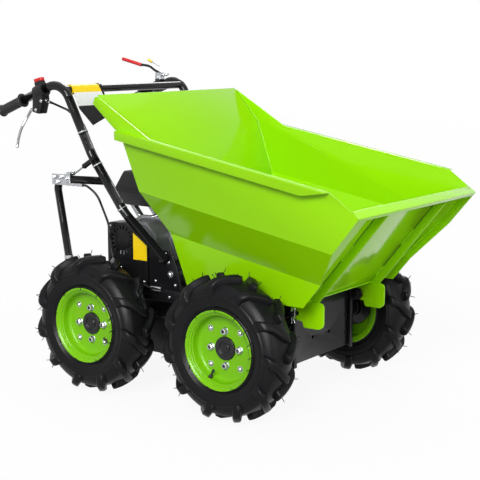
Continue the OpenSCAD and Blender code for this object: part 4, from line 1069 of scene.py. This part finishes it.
# %% Right-hand controls
CONTROL_X = -262
GRIP_TILT = atan2(CREST[2] - GRIP_END[2], CREST[0] - GRIP_END[0])
CONTROL = spot(CONTROL_X, -CREST[1], GRIP_END[2] + (CONTROL_X - GRIP_END[0]) * tan(GRIP_TILT))
ON_GRIP = Matrix.Translation(CONTROL) @ Matrix.Rotation(-GRIP_TILT, 4, "Y") @ Matrix.Scale(MM, 4)
HOUSING_FACE = -16
HOUSING_RIB = (13, 2.6, 2.4)
HOUSING_RIBS_AT = [(-12 - 1.6 * k, HOUSING_FACE, -22 - 6.4 * k) for k in range(6)]
SEAT = (30, 22, 16)
SEAT_AT = (4, 0, 23)
TOGGLE = (34, 16, 12)
TOGGLE_AT = (5, 0, 35)
TOGGLE_TURN = radians(8)
ADJUSTER = [(0, 0), (5.6, 0), (5.6, 7), (4, 8.4), (4, 13), (5.2, 13.4), (5.2, 19), (3.6, 20.4), (3.6, 27),
            (0, 27)]
ADJUSTER_FROM = spot(-245, -289, 889)
ADJUSTER_TO = spot(-168, -271.5, 861)
SCREWS = [(-30, -52), (3, -34)]


def on_grip(place):
    """Matrix for a place in the grip's axes, in mm."""
    return ON_GRIP @ Matrix.Translation(place)


housing_ribs = [on_grip(place) for place in HOUSING_RIBS_AT]
bm = gather((block(HOUSING_RIB, 1), housing_ribs), (block(SEAT, 3), [on_grip(SEAT_AT)]))
fresh("housing_ribs", bm, "engine_black", "chassis")
bm = gather((block(TOGGLE, 2.6, 3), [on_grip(TOGGLE_AT) @ Matrix.Rotation(TOGGLE_TURN, 4, "Y")]))
fresh("kill_switch_toggle", bm, "switch_red", "chassis", replaces=["kill_switch"])
out = Matrix.Rotation(pi / 2, 4, "X")
screws = [on_grip((x, HOUSING_FACE, z)) @ out for x, z in SCREWS]
adjuster = [facing(ADJUSTER_FROM, ADJUSTER_TO - ADJUSTER_FROM)]
bm = gather((turned(BOLT, 12), screws), (turned(ADJUSTER, 14), adjuster))
fresh("right_control_metal", bm, "zinc_steel", "chassis")
skin("brake_lever")
print("right-hand controls at", [round(v, 3) for v in CONTROL])

# %% [markdown]
# Left-hand controls: a black clamp with a bright post, a bent clutch lever whose outer half has a red sleeve,
# and a small trigger with a yellow end. The bent arms are wires, and sleeve and trigger end are turned, so
# that their ends are round. Places are in mm from the grip's line, ahead and up.

# %% Left-hand controls
LEFT = Vector((CONTROL.x, -CONTROL.y, CONTROL.z))
POST_FROM = 24
ARM = [(2, 44), (-22, 54), (-40, 65), (-52, 69), (-66, 71), (-88, 73)]
ARM_R = 4.6
SLEEVE = [(-84, 72), (-175, 93)]
SLEEVE_R = 6.4
TRIGGER = [(6, 47), (5, 58), (-4, 70), (-24, 79), (-38, 84)]
TRIGGER_R = 2.4
TRIGGER_END = [(-35, 83), (-53, 91)]
TRIGGER_END_R = 5
NOSE_R = 3
POST_BOLTS_Y = (-9, 9)
POST_BOLTS_Z = 31
LEFT_ADJUSTER = (14, 38)


def on_left(x, z, y=0):
    """Place in the frame, in mm from the left-hand control: ahead, up and to the left."""
    return LEFT + Vector((x, y, z)) * MM


def sleeve(name, node, ends, radius, finish):
    """Round-ended sleeve between two places, standing for a CAD node."""
    start, end = (on_left(*place) for place in ends)
    length = (end - start).length / MM
    nose = arc((radius - NOSE_R, length - NOSE_R), NOSE_R, 0, pi / 2, 4)
    profile = [(0, 0), (radius - 1, 0), (radius, 1.5)] + nose + [(0, length)]
    bm = gather((turned(profile, 20), [facing(start, end - start)]))
    fresh(name, bm, finish, "chassis", replaces=[node])
    return length


striped("clutch_mount", LEFT, Vector((0, 0, 1)), [POST_FROM], ["engine_black", "zinc_steel"])
sleeve_length = sleeve("clutch_lever_sleeve", "clutch_lever", SLEEVE, SLEEVE_R, "switch_red")
sleeve("trigger_end", "trigger_tip", TRIGGER_END, TRIGGER_END_R, "tip_yellow")
bm = bmesh.new()
wire(bm, [on_left(*place) for place in ARM], ARM_R, 12)
fresh("clutch_lever_arm", bm, "tube_black", "chassis", 60)
bm = bmesh.new()
wire(bm, [on_left(*place) for place in TRIGGER], TRIGGER_R, 10)
join(bm, turned(BOLT, 12), [facing(on_left(0, POST_BOLTS_Z, y), (0, y, 0)) for y in POST_BOLTS_Y])
join(bm, turned(ADJUSTER, 14), [facing(on_left(*LEFT_ADJUSTER), (1, 0, 0.1))])
fresh("left_control_metal", bm, "zinc_steel", "chassis", 60)
print("clutch sleeve", round(sleeve_length), "mm")

# %% [markdown]
# Gear shift: the bracket on the right-hand brace is held by nuts, and the cable adjuster has lock nuts. They
# are the wheel nut's profile at a smaller scale, because nuts of all sizes have the same form.

# %% Gear shift fasteners
SHIFT = spot(-195.7, -250.8, 638)
PLATE_OUT = -17.5
PLATE_NUTS = ((-40, 7), (-24, -8), (-8, 9), (18, 6))
LOCK_NUTS_X = (36, 58, 74)
LOCK_NUTS_YZ = (-15.5, -12)
PIVOT_CAP = (26, 2, 25)
SMALL = Matrix.Scale(0.62, 4)


def on_shift(place, normal):
    """Matrix for a small fastener at a place in mm from the shift bracket."""
    return facing(SHIFT + Vector(place) * MM, normal) @ SMALL


plate_nuts = [on_shift((x, PLATE_OUT, z), (0, -1, 0)) for x, z in PLATE_NUTS]
lock_nuts = [on_shift((x, *LOCK_NUTS_YZ), (1, 0, 0)) for x in LOCK_NUTS_X]
bm = gather((spun(NUT, 6), plate_nuts + lock_nuts), (spun(WASHER, 16), plate_nuts),
            (turned(STUD, 12), plate_nuts), (turned(DOME, 14), [on_shift(PIVOT_CAP, (0, 0, 1))]))
fresh("shift_fasteners", bm, "zinc_steel", "chassis", 30)
print("shift nuts", len(plate_nuts) + len(lock_nuts))

# %% [markdown]
# The engine stands open behind the skip, so its small hardware shows from the rear: bolts round the starter,
# the head and the crankcase, ribs on the crankcase and the fuel cap, two oil fillers and a throttle linkage.
# They could be part of the solids, but as loose small parts they cost few faces and are easy to move.

# %% Engine bolts
CRANK = (-12, 402)
STARTER_FACE = 124
STARTER_BOLTS_R = 70
CASE_RIGHT = -140
CASE_LEFT = 60
CASE_BOLTS_R = 66
CASE_PHASE = 0.3
FOOT_BOLTS = [(x, y, 336) for x in (-104, 78) for y in (-146, 48)]
HEAD_BOLTS = [(-52, -66, 513), (-56, 10, 513)]
UP = (0, 0, 1)


def ring_places(centre, radius, count, normal, phase=0.0):
    """Places on a circle about a normal along Y, in mm from the rear axle."""
    x, y, z = centre
    turns = [phase + 2 * pi * k / count for k in range(count)]
    return [facing(spot(x + radius * cos(turn), y, z + radius * sin(turn)), normal) for turn in turns]


starter_bolts = ring_places((CRANK[0], STARTER_FACE, CRANK[1]), STARTER_BOLTS_R, 4, (0, 1, 0), pi / 4)
case_bolts = ring_places((CRANK[0], CASE_RIGHT, CRANK[1]), CASE_BOLTS_R, 6, (0, -1, 0), CASE_PHASE)
foot_bolts = [facing(spot(*place), UP) for place in FOOT_BOLTS]
head_bolts = [facing(spot(*place), UP) for place in HEAD_BOLTS]
small_bolts = starter_bolts + case_bolts + foot_bolts
fresh("engine_bolts", gather((turned(BOLT, 12), small_bolts), (turned(DOME, 14), head_bolts)), "zinc_steel",
      "chassis")
print("engine bolts", len(small_bolts) + len(head_bolts))

# %% [markdown]
# The crankcase is cast with stiffening ribs, and its two oil fillers are black plastic plugs low on its rear.
# The fuel cap is ribbed for the hand. The throttle linkage is two bent wires on a small plate. Ribs could be
# cut into the solids, but one rounded block, copied to a list of places, keeps them all alike.

# %% Engine ribs, fillers and linkage
CASE_REAR = min(v.co.x for v in frame["nodes"]["engine_block"].data.vertices)
CASE_MARGIN = 20
CASE_RIB = (3, CASE_LEFT - CASE_RIGHT - 2 * CASE_MARGIN, 5)
CASE_RIBS_Z = (385, 415, 445)
CASE_MID_Y = (CASE_LEFT + CASE_RIGHT) / 2
FILLER = [(0, 15), (5, 15), (6, 13), (11, 12), (13, 10), (13, 4), (9, 3), (9, -8), (0, -8)]
FILLERS_Y = (-112, 34)
FILLER_Z = 352
FILLER_OUT = (-1, 0, 0.25)
CAP = spot(-28, 5.5, 667)
CAP_RIB = (3.4, 4.4, 17)
CAP_RIBS = 20
CAP_R = 29
LINK_R = 1.8
LINK_PIVOT = (-2, -4, 500)
LINK_LONG = [LINK_PIVOT, (24, -6, 520), (56, 6, 524), (84, 20, 532)]
LINK_SHORT = [LINK_PIVOT, (-8, -4, 470), (-30, -4, 452)]
LINK_PLATE = (26, 4, 14)
LINK_PLATE_AT = (0, -3, 496)
LINK_KNOB = (-2, -5, 500)


def on_case(x, y, z):
    """Place in mm whose y is counted from the crankcase's right-hand face."""
    return spot(x, CASE_RIGHT + y, z)


case_ribs = [sized((CASE_REAR, CASE_MID_Y * MM, z * MM)) for z in CASE_RIBS_Z]
fresh("crankcase_ribs", gather((block(CASE_RIB, 1.2), case_ribs)), "cast_aluminium", "chassis")
fillers = [facing(Vector((CASE_REAR, y * MM, FILLER_Z * MM)), FILLER_OUT) for y in FILLERS_Y]
fresh("oil_fillers", gather((turned(FILLER, 20), fillers)), "engine_black", "chassis")
cap_turns = [Matrix.Rotation(2 * pi * k / CAP_RIBS, 4, "Z") for k in range(CAP_RIBS)]
cap_ribs = [Matrix.Translation(CAP) @ turn @ sized((CAP_R * MM, 0, 0)) for turn in cap_turns]
fresh("fuel_cap_ribs", gather((block(CAP_RIB, 1), cap_ribs)), "engine_black", "chassis")
bm = bmesh.new()
for link in (LINK_LONG, LINK_SHORT):
    wire(bm, [on_case(*place) for place in link], LINK_R)
join(bm, block(LINK_PLATE, 1.4), [sized(on_case(*LINK_PLATE_AT))])
join(bm, turned(DOME, 14), [facing(on_case(*LINK_KNOB), (0, -1, 0))])
fresh("throttle_linkage", bm, "zinc_steel", "chassis", 60)
print("crankcase ribs", len(case_ribs), "fillers", len(fillers), "cap ribs", len(cap_ribs))

# %% [markdown]
# Under the machine, each axle tube ends in a flange with six bolts on the tub's side, and the front plate and
# the belly have their own bolts. These are the same small bolts again, in joined meshes; those of the front
# plate are painted black with it.

# %% Chassis bolts
FLANGE_Y = 175
FLANGE_BOLTS_R = 42
BELLY_BOLTS = [(x, y, 97) for x in (0, 160, 320, 480) for y in (-140, 140)]
FRONT_BOLTS = [(609, y, z) for y in (-140, 140) for z in (176, 232, 288)]
under_bolts = []
for axle_x in (0, WHEEL_BASE):
    for side in (1, -1):
        flange = (axle_x, side * FLANGE_Y, AXLE_Z)
        under_bolts += ring_places(flange, FLANGE_BOLTS_R, 6, (0, side, 0), pi / 6)
under_bolts += [facing(spot(*place), (0, 0, -1)) for place in BELLY_BOLTS]
front_bolts = [facing(spot(*place), (1, 0, 0)) for place in FRONT_BOLTS]
fresh("chassis_bolts", gather((turned(BOLT, 10), under_bolts)), "zinc_steel", "chassis")
fresh("front_plate_bolts", gather((turned(BOLT, 10), front_bolts)), "chassis_black", "chassis")
print("chassis bolts", len(under_bolts) + len(front_bolts))
